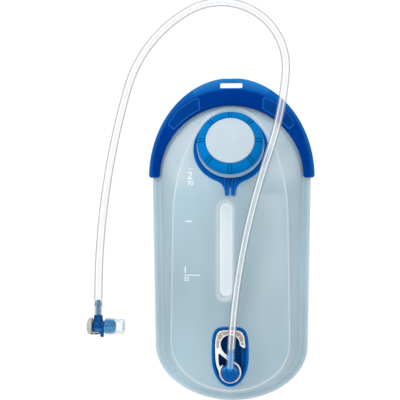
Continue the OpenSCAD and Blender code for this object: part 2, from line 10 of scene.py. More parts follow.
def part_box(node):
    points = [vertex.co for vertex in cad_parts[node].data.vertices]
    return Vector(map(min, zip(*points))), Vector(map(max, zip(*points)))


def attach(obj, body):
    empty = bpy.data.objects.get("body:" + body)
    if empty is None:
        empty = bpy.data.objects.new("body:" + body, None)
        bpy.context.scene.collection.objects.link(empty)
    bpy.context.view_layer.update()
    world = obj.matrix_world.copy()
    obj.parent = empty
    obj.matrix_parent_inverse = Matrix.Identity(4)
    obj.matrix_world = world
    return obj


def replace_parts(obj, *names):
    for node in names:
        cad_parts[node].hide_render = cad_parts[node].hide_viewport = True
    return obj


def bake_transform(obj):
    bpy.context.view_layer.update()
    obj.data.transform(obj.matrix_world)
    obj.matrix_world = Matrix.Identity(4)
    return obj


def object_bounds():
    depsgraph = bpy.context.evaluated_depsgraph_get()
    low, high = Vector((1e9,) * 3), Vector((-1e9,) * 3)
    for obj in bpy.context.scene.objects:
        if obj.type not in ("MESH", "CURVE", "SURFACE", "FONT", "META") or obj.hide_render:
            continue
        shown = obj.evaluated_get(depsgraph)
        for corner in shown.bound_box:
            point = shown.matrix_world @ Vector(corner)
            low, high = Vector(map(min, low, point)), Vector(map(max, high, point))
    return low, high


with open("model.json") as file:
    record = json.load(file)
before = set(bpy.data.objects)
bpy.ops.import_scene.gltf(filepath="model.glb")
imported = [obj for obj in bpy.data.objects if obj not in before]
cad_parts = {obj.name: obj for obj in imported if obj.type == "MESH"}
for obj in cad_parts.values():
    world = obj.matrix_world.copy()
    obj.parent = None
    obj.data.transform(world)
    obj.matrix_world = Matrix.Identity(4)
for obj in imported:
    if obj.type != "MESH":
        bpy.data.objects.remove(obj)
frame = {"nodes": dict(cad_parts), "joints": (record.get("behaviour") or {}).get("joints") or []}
cad_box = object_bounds()

# Lengths below are millimetres in the CAD frame.
# Heights named z count from the reservoir's lowest edge.
MM = 0.001
joints = {j["name"]: j for j in frame["joints"]}


def mm(values):
    return np.array(values, float) / MM


film_low, film_high = (mm(c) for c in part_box("front_film"))
hang_high = mm(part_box("hanger_front")[1])
BASE_Z = film_low[2]
FACE_Y = -42.0
FILM_Y = mm(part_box("back_film")[0])[1]
CAP_AT = mm(joints["cap_turn"]["pos_m"])
CAP_AXIS = np.array(joints["cap_turn"]["axis"], float)
HUB_AT = mm(joints["plug_swivel"]["pos_m"])
MOUTH_AT = mm(joints["bite_swivel"]["pos_m"])

# Reservoir
BAG_W = film_high[0] - film_low[0]
BAG_LOW_W = 177.0
BOTTOM_H = 65.0
SHOULDER_Z = 259.0
WELD_W = 9.0
FACE_HALF = 67.0
FACE_BOTTOM_H = 55.0
FACE_BOTTOM_Z = 73.0
SLOPE_Z = 240.0
SLOPE = math.radians(20)
PANEL_Z = 205.0
PANEL_HALF = 65.0
PANEL_TOP = 341.5
TIE_X = -5.7
TIE_LOW = 129.5
TIE_HIGH = 222.5
TIE_R = 5.5

# Hanger
ARCH_A = hang_high[0]
ARCH_B = 116.0
ARCH_TOP = hang_high[2] - BASE_Z - SHOULDER_Z
ARCH_IN = 83.5
SLOT_Z = -BASE_Z
SLOT_W = 25.8
SLOT_H = 6.4

# Raised face of the hanger: the circle that bounds it, and that circle's height over the shoulder
FACE_R = 97.5
FACE_UP = 5.5

# Grip pads: inner radius, then the circle and the ellipse that bound them outside
PAD_IN = 86.8
PAD_R = 95.2
PAD_A = 89.5
PAD_B = 108.0
PAD_TOP = 10.3
STUD_TOP = 10.72

# Port: half its width, its widest line over the plug's, and its reach above and below that line
PORT_HALF = 20.7
PORT_MID = 17.0
PORT_UP = 34.0
PORT_DOWN = 33.0

# Latch: the middle of its arch over the plug, and the radii of the arch and of the ring
LATCH_MID = 31.0
LATCH_ARCH_R = 10.8
LATCH_BAND_R = 12.2
LATCH_RING_OUT = 12.5
LATCH_RING_IN = 10.6

# Hose: its radii, the radius and turn of each run of its centre line, the lean of the first run, the straight
# lengths at both ends, and the distance between its rings of points
HOSE_R = 4.5
BORE_R = 3.2
RUNS = [(808, -15.8), (357, 14.2), (71.6, 123.9), (142, 44.7), (838, 16)]
TILT = math.radians(3)
LEAN = math.radians(4)
FIRST = 28.0
LAST = 18.0
SPACING = 2.5

SIDES = ((-1, "left"), (1, "right"))
WHITE = (1, 1, 1, 1)


def link(thing):
    bpy.context.scene.collection.objects.link(thing)


# ---------- materials ----------

def linear(rgb):
    """A colour as seen on a screen, 0 to 255, turned into the renderer's linear values."""
    out = []
    for c in rgb:
        c = c / 255
        out.append(c / 12.92 if c <= 0.04045 else ((c + 0.055) / 1.055) ** 2.4)
    return (*out, 1.0)


class Nodes:
    """A short way to build the node tree of a material or of the world."""

    def __init__(self, name, world=False):
        self.holder = (bpy.data.worlds if world else bpy.data.materials).new(name)
        self.holder.use_nodes = True
        self.tree = self.holder.node_tree
        self.tree.nodes.clear()
        self.output = self.add("ShaderNodeOutputWorld" if world else "ShaderNodeOutputMaterial")

    def add(self, kind, inputs=None, **settings):
        node = self.tree.nodes.new(kind)
        for key, value in settings.items():
            setattr(node, key, value)
        for key, value in (inputs or {}).items():
            self.set(node.inputs[key], value)
        return node

    def set(self, socket, value):
        if isinstance(value, bpy.types.NodeSocket):
            self.tree.links.new(value, socket)
        else:
            socket.default_value = value

    def noise(self, scale, detail=2.0, stretch=(1, 1, 1)):
        place = self.add("ShaderNodeTexCoord").outputs["Object"]
        if stretch != (1, 1, 1):
            place = self.add("ShaderNodeMapping", {"Vector": place, "Scale": stretch}).outputs[0]
        inputs = {"Vector": place, "Scale": scale, "Detail": detail}
        return self.add("ShaderNodeTexNoise", inputs).outputs["Fac"]

    def ramp(self, value, low, high, to_low=0.0, to_high=1.0):
        node = self.add("ShaderNodeMapRange", {"Value": value, "From Min": low, "From Max": high,
                                               "To Min": to_low, "To Max": to_high})
        return node.outputs["Result"]

    def mix(self, share, a, b):
        node = self.add("ShaderNodeMix", data_type="RGBA")
        self.set(node.inputs[0], share)
        self.set(node.inputs[6], a)
        self.set(node.inputs[7], b)
        return node.outputs[2]

    def attribute(self, name):
        return self.add("ShaderNodeAttribute", attribute_name=name).outputs["Fac"]

    def times(self, a, b):
        return self.add("ShaderNodeMath", {0: a, 1: b}, operation="MULTIPLY").outputs[0]

    def bump(self, height, strength, distance):
        return self.add("ShaderNodeBump", {"Height": height, "Strength": strength,
                                           "Distance": distance}).outputs["Normal"]

    def edges(self, radius):
        """1 on sharp and rounded edges, 0 on flat ground."""
        round_normal = self.add("ShaderNodeBevel", {"Radius": radius}, samples=4).outputs[0]
        flat = self.add("ShaderNodeNewGeometry").outputs["True Normal"]
        dot = self.add("ShaderNodeVectorMath", {0: round_normal, 1: flat}, operation="DOT_PRODUCT")
        return self.ramp(dot.outputs["Value"], 0.98, 0.72)

    def finish(self, shader):
        self.tree.links.new(shader, self.output.inputs["Surface"])
        return self.holder

    def veil(self, alpha, shader, tint=(255, 255, 255)):
        """Finishes with a shader that shows what is behind it where alpha is low."""
        through = self.add("ShaderNodeBsdfTransparent", {"Color": linear(tint)})
        mixed = self.add("ShaderNodeMixShader", {0: alpha, 1: through.outputs[0], 2: shader.outputs[0]})
        return self.finish(mixed.outputs[0])


def moulded(name, colour, dark=None, light=None, rough=0.38, grain=900.0, bump=0.12, coat=0.0):
    """Moulded plastic: cloudy colour, fine grain, and a lighter line where light catches an edge."""
    n = Nodes(name)
    cloud = n.ramp(n.noise(28.0, 3.0), 0.35, 0.65)
    base = n.mix(cloud, linear(dark or [c * 0.9 for c in colour]), linear(colour))
    if light:
        base = n.mix(n.attribute("lit"), base, linear(light))
        base = n.mix(n.times(n.edges(0.0008), 0.8), base, linear(light))
    base = n.mix(n.attribute("shade"), base, linear([c * 0.62 for c in colour]))
    roughness = n.ramp(n.noise(160.0, 2.0), 0.3, 0.7, rough * 0.85, rough * 1.15)
    shader = n.add("ShaderNodeBsdfPrincipled", {
        "Base Color": base, "Roughness": roughness, "Specular IOR Level": 0.07, "Specular Tint": base,
        "Coat Weight": coat * 0.15, "Coat Roughness": 0.12,
        "Normal": n.bump(n.noise(grain, 2.0), bump, 0.0002)})
    return n.finish(shader.outputs[0])


def clear(name, colour, edge, centre_alpha, edge_alpha, rough, gloss=0.5):
    """Clear soft plastic, drawn without refraction: thin where it faces the eye, dense at its edges."""
    n = Nodes(name)
    facing = n.add("ShaderNodeLayerWeight", {"Blend": 0.5}).outputs["Facing"]
    side = n.ramp(facing, 0.35, 0.95)
    wave = n.noise(60.0, 2.0)
    body = n.add("ShaderNodeBsdfPrincipled", {
        "Base Color": n.mix(side, linear(colour), linear(edge)),
        "Roughness": n.ramp(wave, 0.3, 0.7, rough * 0.8, rough * 1.2),
        "Specular IOR Level": gloss,
        "Normal": n.bump(wave, 0.06, 0.0004)})
    return n.veil(n.ramp(side, 0.0, 1.0, centre_alpha, edge_alpha), body)


def film(name, deep, pale, alpha):
    """Translucent film: a cool tint with soft clouding, whiter where the mesh's 'pale' attribute is high."""
    n = Nodes(name)
    cloud = n.noise(9.0, 3.0, (1.0, 1.0, 0.45))
    shade = n.ramp(n.noise(22.0, 2.0, (1.0, 1.0, 0.3)), 0.3, 0.7)
    dull = linear([c * 0.97 for c in deep])
    bright = linear([c * 1.11 for c in deep])
    warm = linear([deep[0] * 1.04, deep[1], deep[2] * 0.985])
    base = n.mix(n.ramp(cloud, 0.34, 0.66), dull, bright)
    base = n.mix(n.ramp(shade, 0.0, 1.0, 0.0, 0.25), base, warm)
    base = n.mix(n.attribute("pale"), base, linear(pale))
    body = n.add("ShaderNodeBsdfPrincipled", {
        "Base Color": base, "Roughness": n.ramp(cloud, 0.3, 0.7, 0.26, 0.4), "Specular IOR Level": 0.42,
        "Normal": n.bump(n.noise(40.0, 3.0, (1.0, 1.0, 0.35)), 0.16, 0.0012)})
    # The film glows faintly all over, and more where 'glow' is set: painted light standing in for light that
    # passes through it.
    n.set(body.inputs["Emission Color"], base)
    glow = n.add("ShaderNodeMath", {0: n.attribute("glow"), 1: 0.13}, operation="ADD")
    n.set(body.inputs["Emission Strength"], glow.outputs[0])
    soft = n.add("ShaderNodeBsdfTranslucent", {"Color": base})
    lit = n.add("ShaderNodeMixShader", {0: 0.22, 1: body.outputs[0], 2: soft.outputs[0]})
    return n.veil(alpha, lit, (214, 232, 240))


def clear_hose(name):
    """Clear tube: see-through in the middle, a painted white highlight on each side of it, grey at its
    outline, and a faint painted glow.
    """
    n = Nodes(name)
    facing = n.add("ShaderNodeLayerWeight", {"Blend": 0.5}).outputs["Facing"]
    bands = n.add("ShaderNodeValToRGB", {"Fac": facing})
    # The two near-white steps are painted highlights, one streak down each side of the tube.
    steps = [(0.0, (204, 210, 217), 0.33), (0.06, (208, 214, 220), 0.30), (0.11, (244, 246, 248), 0.80),
             (0.20, (240, 243, 246), 0.66), (0.28, (198, 203, 208), 0.36), (0.38, (140, 142, 140), 0.66),
             (1.0, (104, 105, 103), 0.85)]
    ramp = bands.color_ramp
    while len(ramp.elements) < len(steps):
        ramp.elements.new(0.5)
    for element, (place, colour, alpha) in zip(ramp.elements, steps):
        element.position = place
        element.color = (*linear(colour)[:3], alpha)
    wave = n.noise(45.0, 2.0)
    # The tube also glows faintly, which is painted light.
    body = n.add("ShaderNodeBsdfPrincipled", {
        "Base Color": bands.outputs["Color"], "Roughness": n.ramp(wave, 0.3, 0.7, 0.1, 0.16),
        "Specular IOR Level": 0.3, "Emission Color": bands.outputs["Color"], "Emission Strength": 0.12,
        "Normal": n.bump(wave, 0.05, 0.0004)})
    geometry = n.add("ShaderNodeNewGeometry")
    front = n.ramp(geometry.outputs["Backfacing"], 0.0, 1.0, 1.0, 0.10)
    front = n.times(front, n.ramp(n.attribute("bore"), 0.0, 1.0, 1.0, 0.22))
    front = n.times(front, n.ramp(n.attribute("gripped"), 0.0, 1.0, 1.0, 0.4))
    alpha = n.times(n.times(bands.outputs["Alpha"], front), n.ramp(wave, 0.3, 0.7, 0.94, 1.0))
    return n.veil(alpha, body)


def metal(name, colour):
    n = Nodes(name)
    shader = n.add("ShaderNodeBsdfPrincipled", {
        "Base Color": linear(colour), "Metallic": 1.0,
        "Roughness": n.ramp(n.noise(400.0), 0.3, 0.7, 0.2, 0.35),
        "Normal": n.bump(n.noise(900.0, 2.0, (1, 1, 12)), 0.1, 0.0001)})
    return n.finish(shader.outputs[0])


M = {
    "film": film("film_front", (168, 191, 201), (243, 243, 243), 0.86),
    "film_back": film("film_back", (162, 190, 201), (232, 240, 243), 0.90),
    "arch": moulded("arch_blue", (0, 58, 142), (0, 52, 132), (46, 140, 215), 0.42, 1100.0, 0.16),
    # The outer band is the same blue plastic as the face; its lighter blue is painted light from above.
    "arch_rim": moulded("arch_rim_blue", (0, 84, 168), (0, 74, 156), (62, 158, 220), 0.36, 1100.0, 0.1),
    "pad": moulded("grip_rubber_blue", (6, 74, 158), (4, 66, 146), (30, 105, 190), 0.6, 1500.0, 0.25),
    "pad_dot": moulded("grip_dot_blue", (0, 52, 122), (0, 46, 110), None, 0.6, 1500.0, 0.2),
    "bead": moulded("weld_bead_blue", (128, 198, 236), (116, 188, 230), None, 0.3, 900.0, 0.05),
    "pad_line": moulded("grip_outline_blue", (26, 98, 176), None, (90, 155, 215), 0.45, 1500.0, 0.12),
    "collar": moulded("collar_blue", (2, 96, 182), (0, 82, 164), (110, 190, 240), 0.3, 900.0, 0.06, 0.2),
    "ring": moulded("cap_ring_blue", (0, 118, 190), (0, 108, 180), None, 0.42, 1300.0, 0.12),
    "disc": moulded("cap_disc_frosted", (190, 205, 214), (184, 199, 209), (232, 240, 244), 0.5, 700.0, 0.12),
    "skirt": clear("cap_skirt_frosted", (150, 190, 218), (190, 212, 226), 0.72, 0.95, 0.3),
    "port": moulded("port_blue", (0, 90, 166), (0, 76, 148), (120, 195, 240), 0.3, 900.0, 0.06, 0.2),
    # A darker copy of the port blue: painted shade for the recess floor, the boss and the left ledge.
    "port_deep": moulded("port_blue_painted_shade", (0, 62, 124), (0, 52, 108), (12, 88, 160), 0.42, 900.0, 0.06),
    # Near-black navy: painted shade in the deep pocket seen through the latch's opening.
    "pocket": moulded("port_pocket_painted_shadow", (3, 20, 52), (2, 14, 40), None, 0.6),
    "white": moulded("latch_white", (244, 243, 240), (236, 234, 230), (255, 255, 255), 0.4, 1200.0, 0.08),
    # The latch's sunk band is white plastic; this warm grey is painted shade on it.
    "taupe": moulded("latch_white_painted_shade", (176, 168, 158), (160, 152, 142), None, 0.6, 1200.0, 0.15),
    "plug": moulded("plug_blue", (4, 80, 152), (2, 68, 136), (60, 160, 225), 0.22, 900.0, 0.05, 1.0),
    "barb": moulded("plug_barb_blue", (2, 128, 200), (0, 112, 186), (120, 205, 245), 0.22, 900.0, 0.05, 0.8),
    "teal": moulded("barb_teal", (8, 104, 146), (4, 90, 132), (90, 170, 200), 0.3, 900.0, 0.05, 0.5),
    "elbow": moulded("elbow_blue", (10, 76, 136), (6, 64, 120), (62, 142, 204), 0.3, 900.0, 0.05, 1.0),
    "core": moulded("bite_core_blue", (6, 112, 168), (2, 100, 156), (96, 176, 214), 0.25, 900.0, 0.05, 0.8),
    "sheath": clear("bite_sheath_clear", (186, 214, 222), (84, 138, 172), 0.045, 0.80, 0.14, 0.4),
    "knob": clear("knob_milky", (196, 196, 190), (120, 120, 116), 0.74, 0.97, 0.2, 0.3),
    "slot": moulded("knob_slot_dark", (36, 38, 40), None, None, 0.6),
    "hose": clear_hose("hose_clear"),
    "print": moulded("print_white", (238, 243, 245), (226, 234, 238), None, 0.55),
    "seal": moulded("seal_white", (232, 233, 231), None, None, 0.6),
    "rubber": moulded("o_ring_black", (20, 20, 21), None, None, 0.55),
    "acetal": moulded("valve_white", (238, 238, 234), None, (250, 250, 250), 0.4),
    "steel": metal("spring_steel", (190, 191, 194)),
}
M["collar_bead"] = M["port_bead"] = M.pop("bead")

# The body that each finish rides with, and its slot
HOMES = {
    ("reservoir", "hanger_blue"): "arch arch_rim",
    ("reservoir", "grip_rubber"): "pad pad_line pad_dot",
    ("reservoir", "collar_blue"): "collar collar_bead",
    ("reservoir", "port_blue"): "port port_deep port_bead pocket",
    ("reservoir", "film"): "print",
    (None, "film"): "film film_back",
    (None, "hose_clear"): "hose",
    ("cap", "cap_clear"): "skirt disc",
    ("cap", "cap_blue"): "ring",
    ("latch", "white_plastic"): "white taupe",
    ("plug", "plug_blue"): "plug barb",
    ("hose_tail", "barb_teal"): "teal",
    ("mouthpiece", "elbow_blue"): "elbow",
    ("mouthpiece", "core_blue"): "core",
    ("mouthpiece", "sheath_clear"): "sheath",
    ("shutoff", "knob_grey"): "knob slot",
}
HOME = {look: home for home, looks in HOMES.items() for look in looks.split()}


# ---------- mesh tools ----------

def finish_mesh(name, verts, faces, look, smooth=True, angle=35):
    """A closed mesh in metres from millimetre points; a cutter has no look, so no finish or body."""
    mesh = bpy.data.meshes.new(name)
    mesh.from_pydata([tuple(v) for v in np.array(verts, float) * MM], [], faces)
    bm = bmesh.new()
    bm.from_mesh(mesh)
    bmesh.ops.remove_doubles(bm, verts=bm.verts, dist=2e-6)
    bmesh.ops.dissolve_degenerate(bm, edges=bm.edges, dist=1e-6)
    loose = [v for v in bm.verts if not v.link_faces]
    bmesh.ops.delete(bm, geom=loose, context="VERTS")
    bmesh.ops.recalc_face_normals(bm, faces=bm.faces)
    bm.to_mesh(mesh)
    bm.free()
    piece = bpy.data.objects.new(name, mesh)
    link(piece)
    if smooth:
        mesh.shade_smooth()
        mesh.set_sharp_from_angle(angle=math.radians(angle))
    if look:
        body, slot = HOME[look]
        mesh.materials.append(M[look])
        if body:
            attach(piece, body)
    return piece


def placer(at, x, y, z):
    """A function that moves local points to a frame given by its origin and its three axes."""
    at, x, y, z = (np.array(part, float) for part in (at, x, y, z))

    def place(points):
        p = np.array(points, float).reshape(-1, 3)
        return at + p[:, :1] * x + p[:, 1:2] * y + p[:, 2:] * z

    return place


PORT_AT = np.array([0.0, FACE_Y, HUB_AT[2]])
BARB_DIR = np.array([math.sin(TILT), -math.cos(TILT) * math.sin(LEAN), math.cos(TILT) * math.cos(LEAN)])
BARB_SIDE = np.cross((0, 1, 0), BARB_DIR)
BARB_SIDE = BARB_SIDE / np.linalg.norm(BARB_SIDE)
CAP_UP = np.cross(CAP_AXIS, (1, 0, 0))

# Each placer takes (across, up, towards the front), but the last three turn about the Z of their own frame:
# along the barb, along +X through the ball's centre, and straight up from the ball's centre.
on_wall = placer((0, 0, BASE_Z), (1, 0, 0), (0, 0, 1), (0, -1, 0))
on_port = placer(PORT_AT, (1, 0, 0), (0, 0, 1), (0, -1, 0))
on_cap = placer(CAP_AT, (1, 0, 0), CAP_UP, CAP_AXIS)
on_barb = placer(HUB_AT, BARB_SIDE, np.cross(BARB_DIR, BARB_SIDE), BARB_DIR)
on_bite = placer(MOUTH_AT, (0, 0, -1), (0, 1, 0), (1, 0, 0))
on_drop = placer(MOUTH_AT, (1, 0, 0), (0, 1, 0), (0, 0, 1))


def rounded(points, radius, closed=False, steps=4):
    """A line with each corner replaced by a short curve."""
    pts = [np.array(p, float) for p in points]
    out = []
    count = len(pts)
    for i, p in enumerate(pts):
        if not closed and i in (0, count - 1):
            out.append(p)
            continue
        back = pts[i - 1] - p
        ahead = pts[(i + 1) % count] - p
        a = p + back * min(0.45, radius / max(np.linalg.norm(back), 1e-6))
        b = p + ahead * min(0.45, radius / max(np.linalg.norm(ahead), 1e-6))
        for k in range(steps + 1):
            t = k / steps
            out.append((1 - t) ** 2 * a + 2 * t * (1 - t) * p + t * t * b)
    return out


def grid_faces(rows, columns, closed_rows=False, closed_columns=True):
    """Quads between neighbouring rows of a grid of points."""
    faces = []
    for i in range(rows if closed_rows else rows - 1):
        for j in range(columns if closed_columns else columns - 1):
            here, there = i * columns, (i + 1) % rows * columns
            k = (j + 1) % columns
            faces.append((here + j, here + k, there + k, there + j))
    return faces


def revolve(name, profile, place, look, steps=96, closed=False, shape=None, angle=35):
    """A profile of (radius, height) turned about an axis; shape can move a point by its angle."""
    verts = []
    for k in range(steps):
        turn = 2 * math.pi * k / steps
        for r, z in profile:
            if shape:
                r, z = shape(r, z, turn)
            verts.append((r * math.cos(turn), r * math.sin(turn), z))
    faces = grid_faces(steps, len(profile), True, closed)
    return finish_mesh(name, place(verts), faces, look, angle=angle)


def shown_mesh(thing):
    """A new mesh of what an object shows, with its modifiers applied."""
    bpy.context.view_layer.update()
    graph = bpy.context.evaluated_depsgraph_get()
    return bpy.data.meshes.new_from_object(thing.evaluated_get(graph))


def filled(name, curve):
    """Points and faces of a flat curve, filled and given its thickness."""
    holder = bpy.data.objects.new(name + "_curve", curve)
    link(holder)
    mesh = shown_mesh(holder)
    verts = np.array([v.co for v in mesh.vertices], float)
    faces = [tuple(p.vertices) for p in mesh.polygons]
    bpy.data.objects.remove(holder)
    bpy.data.meshes.remove(mesh)
    return verts, faces


def plate(name, loops, low, high, bevel, place, look, steps=3):
    """A flat plate with rounded edges from closed outlines; an outline inside another is a hole."""
    half = (high - low) / 2
    curve = bpy.data.curves.new(name, "CURVE")
    curve.dimensions = "2D"
    curve.fill_mode = "BOTH"
    curve.extrude = max(half - bevel, 0.001)
    curve.bevel_depth = bevel
    curve.bevel_resolution = steps
    curve.offset = -bevel
    for loop in loops:
        spline = curve.splines.new("POLY")
        spline.points.add(len(loop) - 1)
        for point, p in zip(spline.points, loop):
            point.co = (p[0], p[1], 0, 1)
        spline.use_cyclic_u = True
    verts, faces = filled(name, curve)
    verts[:, 2] += (low + high) / 2
    piece = finish_mesh(name, place(verts), faces, look, angle=60)
    weighted = piece.modifiers.new("flat_faces", "WEIGHTED_NORMAL")
    weighted.keep_sharp = True
    return piece


def circle_round(at, along, normal, radius, sides):
    """Points of a circle at right angles to a path; the normal keeps such circles from twisting."""
    side = np.cross(along, normal)
    side = side / np.linalg.norm(side)
    up = np.cross(side, along)
    turns = [2 * math.pi * j / sides for j in range(sides)]
    return [at + radius * (math.cos(a) * side + math.sin(a) * up) for a in turns]


def sweep(name, path, radius, look, normal=(0, 1, 0), closed=False, sides=8):
    """A round bar along a line of points."""
    path = np.array(path, float)
    count = len(path)
    verts = []
    for i in range(count):
        if closed:
            along = path[(i + 1) % count] - path[i - 1]
        else:
            along = path[min(i + 1, count - 1)] - path[max(i - 1, 0)]
        verts += circle_round(path[i], along / np.linalg.norm(along), normal, radius, sides)
    faces = grid_faces(count, sides, closed)
    if not closed:
        faces.append(tuple(range(sides - 1, -1, -1)))
        faces.append(tuple(range((count - 1) * sides, count * sides)))
    return finish_mesh(name, verts, faces, look, angle=50)


def cut(piece, cutter):
    """Takes one closed mesh out of another."""
    step = piece.modifiers.new("cut", "BOOLEAN")
    step.operation = "DIFFERENCE"
    step.solver = "EXACT"
    step.object = cutter
    result = shown_mesh(piece)
    piece.modifiers.remove(step)
    old = piece.data
    piece.data = result
    bpy.data.meshes.remove(old)


# ---------- reservoir film ----------

def outline(half_low, bottom_z, bottom_h, half_high, top_z, top_h, middle=0.0):
    """Closed outline of a tall rounded panel, always with the same number of points in each part."""
    low_n, side_n, top_n = 96, 64, 120
    points = []
    for i in range(low_n):
        a = -math.pi * i / low_n
        points.append((middle + half_low * math.cos(a), bottom_z + bottom_h * math.sin(a)))
    for i in range(side_n):
        t = i / side_n
        points.append((middle - half_low - (half_high - half_low) * t, bottom_z + (top_z - bottom_z) * t))
    for i in range(top_n):
        a = math.pi - math.pi * i / top_n
        points.append((middle + half_high * math.cos(a), top_z + top_h * math.sin(a)))
    for i in range(side_n):
        t = i / side_n
        points.append((middle + half_high + (half_low - half_high) * t, top_z + (bottom_z - top_z) * t))
    return np.array(points)


def edge_line(inset):
    return outline(BAG_LOW_W / 2 - inset, BOTTOM_H, BOTTOM_H - inset, BAG_W / 2 - inset, SHOULDER_Z,
                   BAG_W / 2 - inset)


def face_line(inset):
    return outline(FACE_HALF - inset, FACE_BOTTOM_Z, FACE_BOTTOM_H - inset, PANEL_HALF - inset, PANEL_Z,
                   PANEL_TOP - PANEL_Z - inset)


def tie_line(radius):
    return outline(radius, TIE_LOW, radius, radius, TIE_HIGH, radius, TIE_X)


def face_depth(z):
    """Depth of the front face at a height: flat below the slope, leaning back above it, with a soft bend."""
    soft = 9.0
    above = z - SLOPE_Z
    lean = np.where(above > soft, above, np.where(above < -soft, 0.0, (above + soft) ** 2 / (4 * soft)))
    return FACE_Y + lean * math.tan(SLOPE)


def ripple(points, size, amount, stretch=1.0):
    """Gentle uneven waves, the same each run."""
    out = np.zeros(len(points))
    for i, p in enumerate(points):
        at = Vector((p[0] / size, p[1] / size, p[2] / size * stretch))
        out[i] = noise.fractal(at, 1.0, 2.0, 3) * amount
    return out


def folds(points):
    """Shallow folds that fan out from the filling collar."""
    x, z = points[:, 0], points[:, 2] - CAP_AT[2]
    away = np.hypot(x, z)
    turn = np.arctan2(z, x)
    fade = np.clip((away - 42) / 6, 0, 1) * np.exp(-np.clip(away - 48, 0, None) / 20)
    return 0.55 * np.cos(11 * turn + 0.7) * np.cos(4 * turn + 2.1) * fade


def at_depth(line, depth):
    """An outline set up in the wall's plane at one depth, or at one depth for each of its points."""
    return np.column_stack([line[:, 0], np.broadcast_to(depth, len(line)), line[:, 1]])


def film_rings():
    """Rings of the front film from its outer edge inward, and how pale each ring is."""
    edge, mid, weld = edge_line(0), edge_line(WELD_W * 0.5), edge_line(WELD_W)
    face = face_line(0)
    tie_wide, tie_top, tie_foot = tie_line(TIE_R + 3.2), tie_line(TIE_R + 2.2), tie_line(TIE_R + 0.4)
    flat_y = FILM_Y - 0.6
    rim = at_depth(weld * 0.35 + mid * 0.65, flat_y)
    foot = at_depth(weld, flat_y)
    lip = at_depth(face, face_depth(face[:, 1]))
    step = face + (tie_wide - face) * 0.10
    inner = at_depth(step, face_depth(step[:, 1]))
    rows = [at_depth(edge, flat_y + 0.25), at_depth(edge_line(0.4), flat_y), at_depth(mid, flat_y)]
    pale = [0.55, 0.35, 0.0]
    for part, radius, steps in ((foot, 3.5, 5), (lip, 4.2, 8)):
        back, ahead = (rim, lip) if part is foot else (foot, inner)
        to_back, to_ahead = back - part, ahead - part
        len_back = np.linalg.norm(to_back, axis=1)[:, None]
        len_ahead = np.linalg.norm(to_ahead, axis=1)[:, None]
        a = part + to_back * np.minimum(0.45, radius / len_back)
        b = part + to_ahead * np.minimum(0.45, radius / len_ahead)
        if part is lip:
            for t in np.linspace(0, 1, 9)[1:-1]:
                rows.append(last + (a - last) * t)
                pale.append(0.06)
        for k in range(steps + 1):
            t = k / steps
            rows.append((1 - t) ** 2 * a + 2 * t * (1 - t) * part + t * t * b)
            # Each ring's paleness; on the lip it is a painted highlight along the crease at the face's edge.
            pale.append(0.62 * math.sin(math.pi * t) ** 6 if part is lip else 0.28 * math.sin(math.pi * t))
        last = b
    for t in np.linspace(0, 1, 26)[1:]:
        share = 0.10 + 0.90 * t
        line = face + (tie_wide - face) * share
        crown = 1.3 * (1 - (1 - share) ** 2) * (1 - t ** 12)
        rows.append(at_depth(line, face_depth(line[:, 1]) - crown))
        pale.append(0.0 if t < 0.97 else 0.45)
    depth = face_depth(tie_top[:, 1])
    rows.append(at_depth(tie_top, depth + 0.6))
    pale.append(0.7)
    for t in np.linspace(0, 1, 7)[1:]:
        line = tie_top + (tie_foot - tie_top) * t
        rows.append(at_depth(line, depth + 0.6 + (flat_y - 0.8 - depth - 0.6) * (1 - (1 - t) ** 1.6)))
        pale.append(0.7 + 0.1 * t)
    for r in (TIE_R - 0.5, TIE_R * 0.75, TIE_R * 0.45, TIE_R * 0.2, 0.0):
        rows.append(at_depth(tie_line(r), flat_y))
        pale.append(0.95)
    return rows, pale


def inside_weld(rows):
    """0 on the four rows of the flat weld and 1 on the rows inside it, for each point."""
    return np.repeat(np.array([0.0] * 4 + [1.0] * (len(rows) - 4)), len(rows[0]))


def build_front_film():
    rows, pale = film_rings()
    count = len(rows[0])
    points = np.concatenate(rows)
    points[:, 2] += BASE_Z
    wave = ripple(points, 38.0, 0.6, 0.5) + ripple(points + 300, 13.0, 0.16, 0.6) + folds(points)
    points[:, 1] += wave * inside_weld(rows)
    piece = finish_mesh("film_front", points, grid_faces(len(rows), count), "film", angle=180)
    return piece, rows, pale


def paint(piece, name, value_of):
    """Writes a number at each point of a mesh, for its material to read."""
    attribute = piece.data.attributes.get(name) or piece.data.attributes.new(name, "FLOAT", "POINT")
    values = [value_of(v.co / MM) for v in piece.data.vertices]
    attribute.data.foreach_set("value", np.array(values, np.float32))


def thicken(piece, thickness):
    """Gives a sheet its thickness, on its inner side."""
    step = piece.modifiers.new("thickness", "SOLIDIFY")
    step.thickness = thickness * MM
    step.offset = -1
    mesh = shown_mesh(piece)
    piece.modifiers.clear()
    piece.data = mesh


def egg(inset, count=160, power=4.2):
    """Rim of the port: squarer above its widest line, an ellipse below it."""
    points = []
    for i in range(count):
        t = 2 * math.pi * i / count
        c, s = math.cos(t), math.sin(t)
        n = power if s >= 0 else 2.0
        reach = (PORT_UP if s >= 0 else PORT_DOWN) - inset
        x = math.copysign(abs(c) ** (2 / n), c) * (PORT_HALF - inset)
        y = math.copysign(abs(s) ** (2 / n), s) * reach
        points.append((x, PORT_MID + y))
    dense = np.array(points)
    step = np.linalg.norm(np.roll(dense, -1, 0) - dense, axis=1)
    run = np.concatenate([[0], np.cumsum(step)])
    loop = np.vstack([dense, dense[:1]])
    even = np.linspace(0, run[-1], count, endpoint=False)
    return np.column_stack([np.interp(even, run, loop[:, 0]), np.interp(even, run, loop[:, 1])])


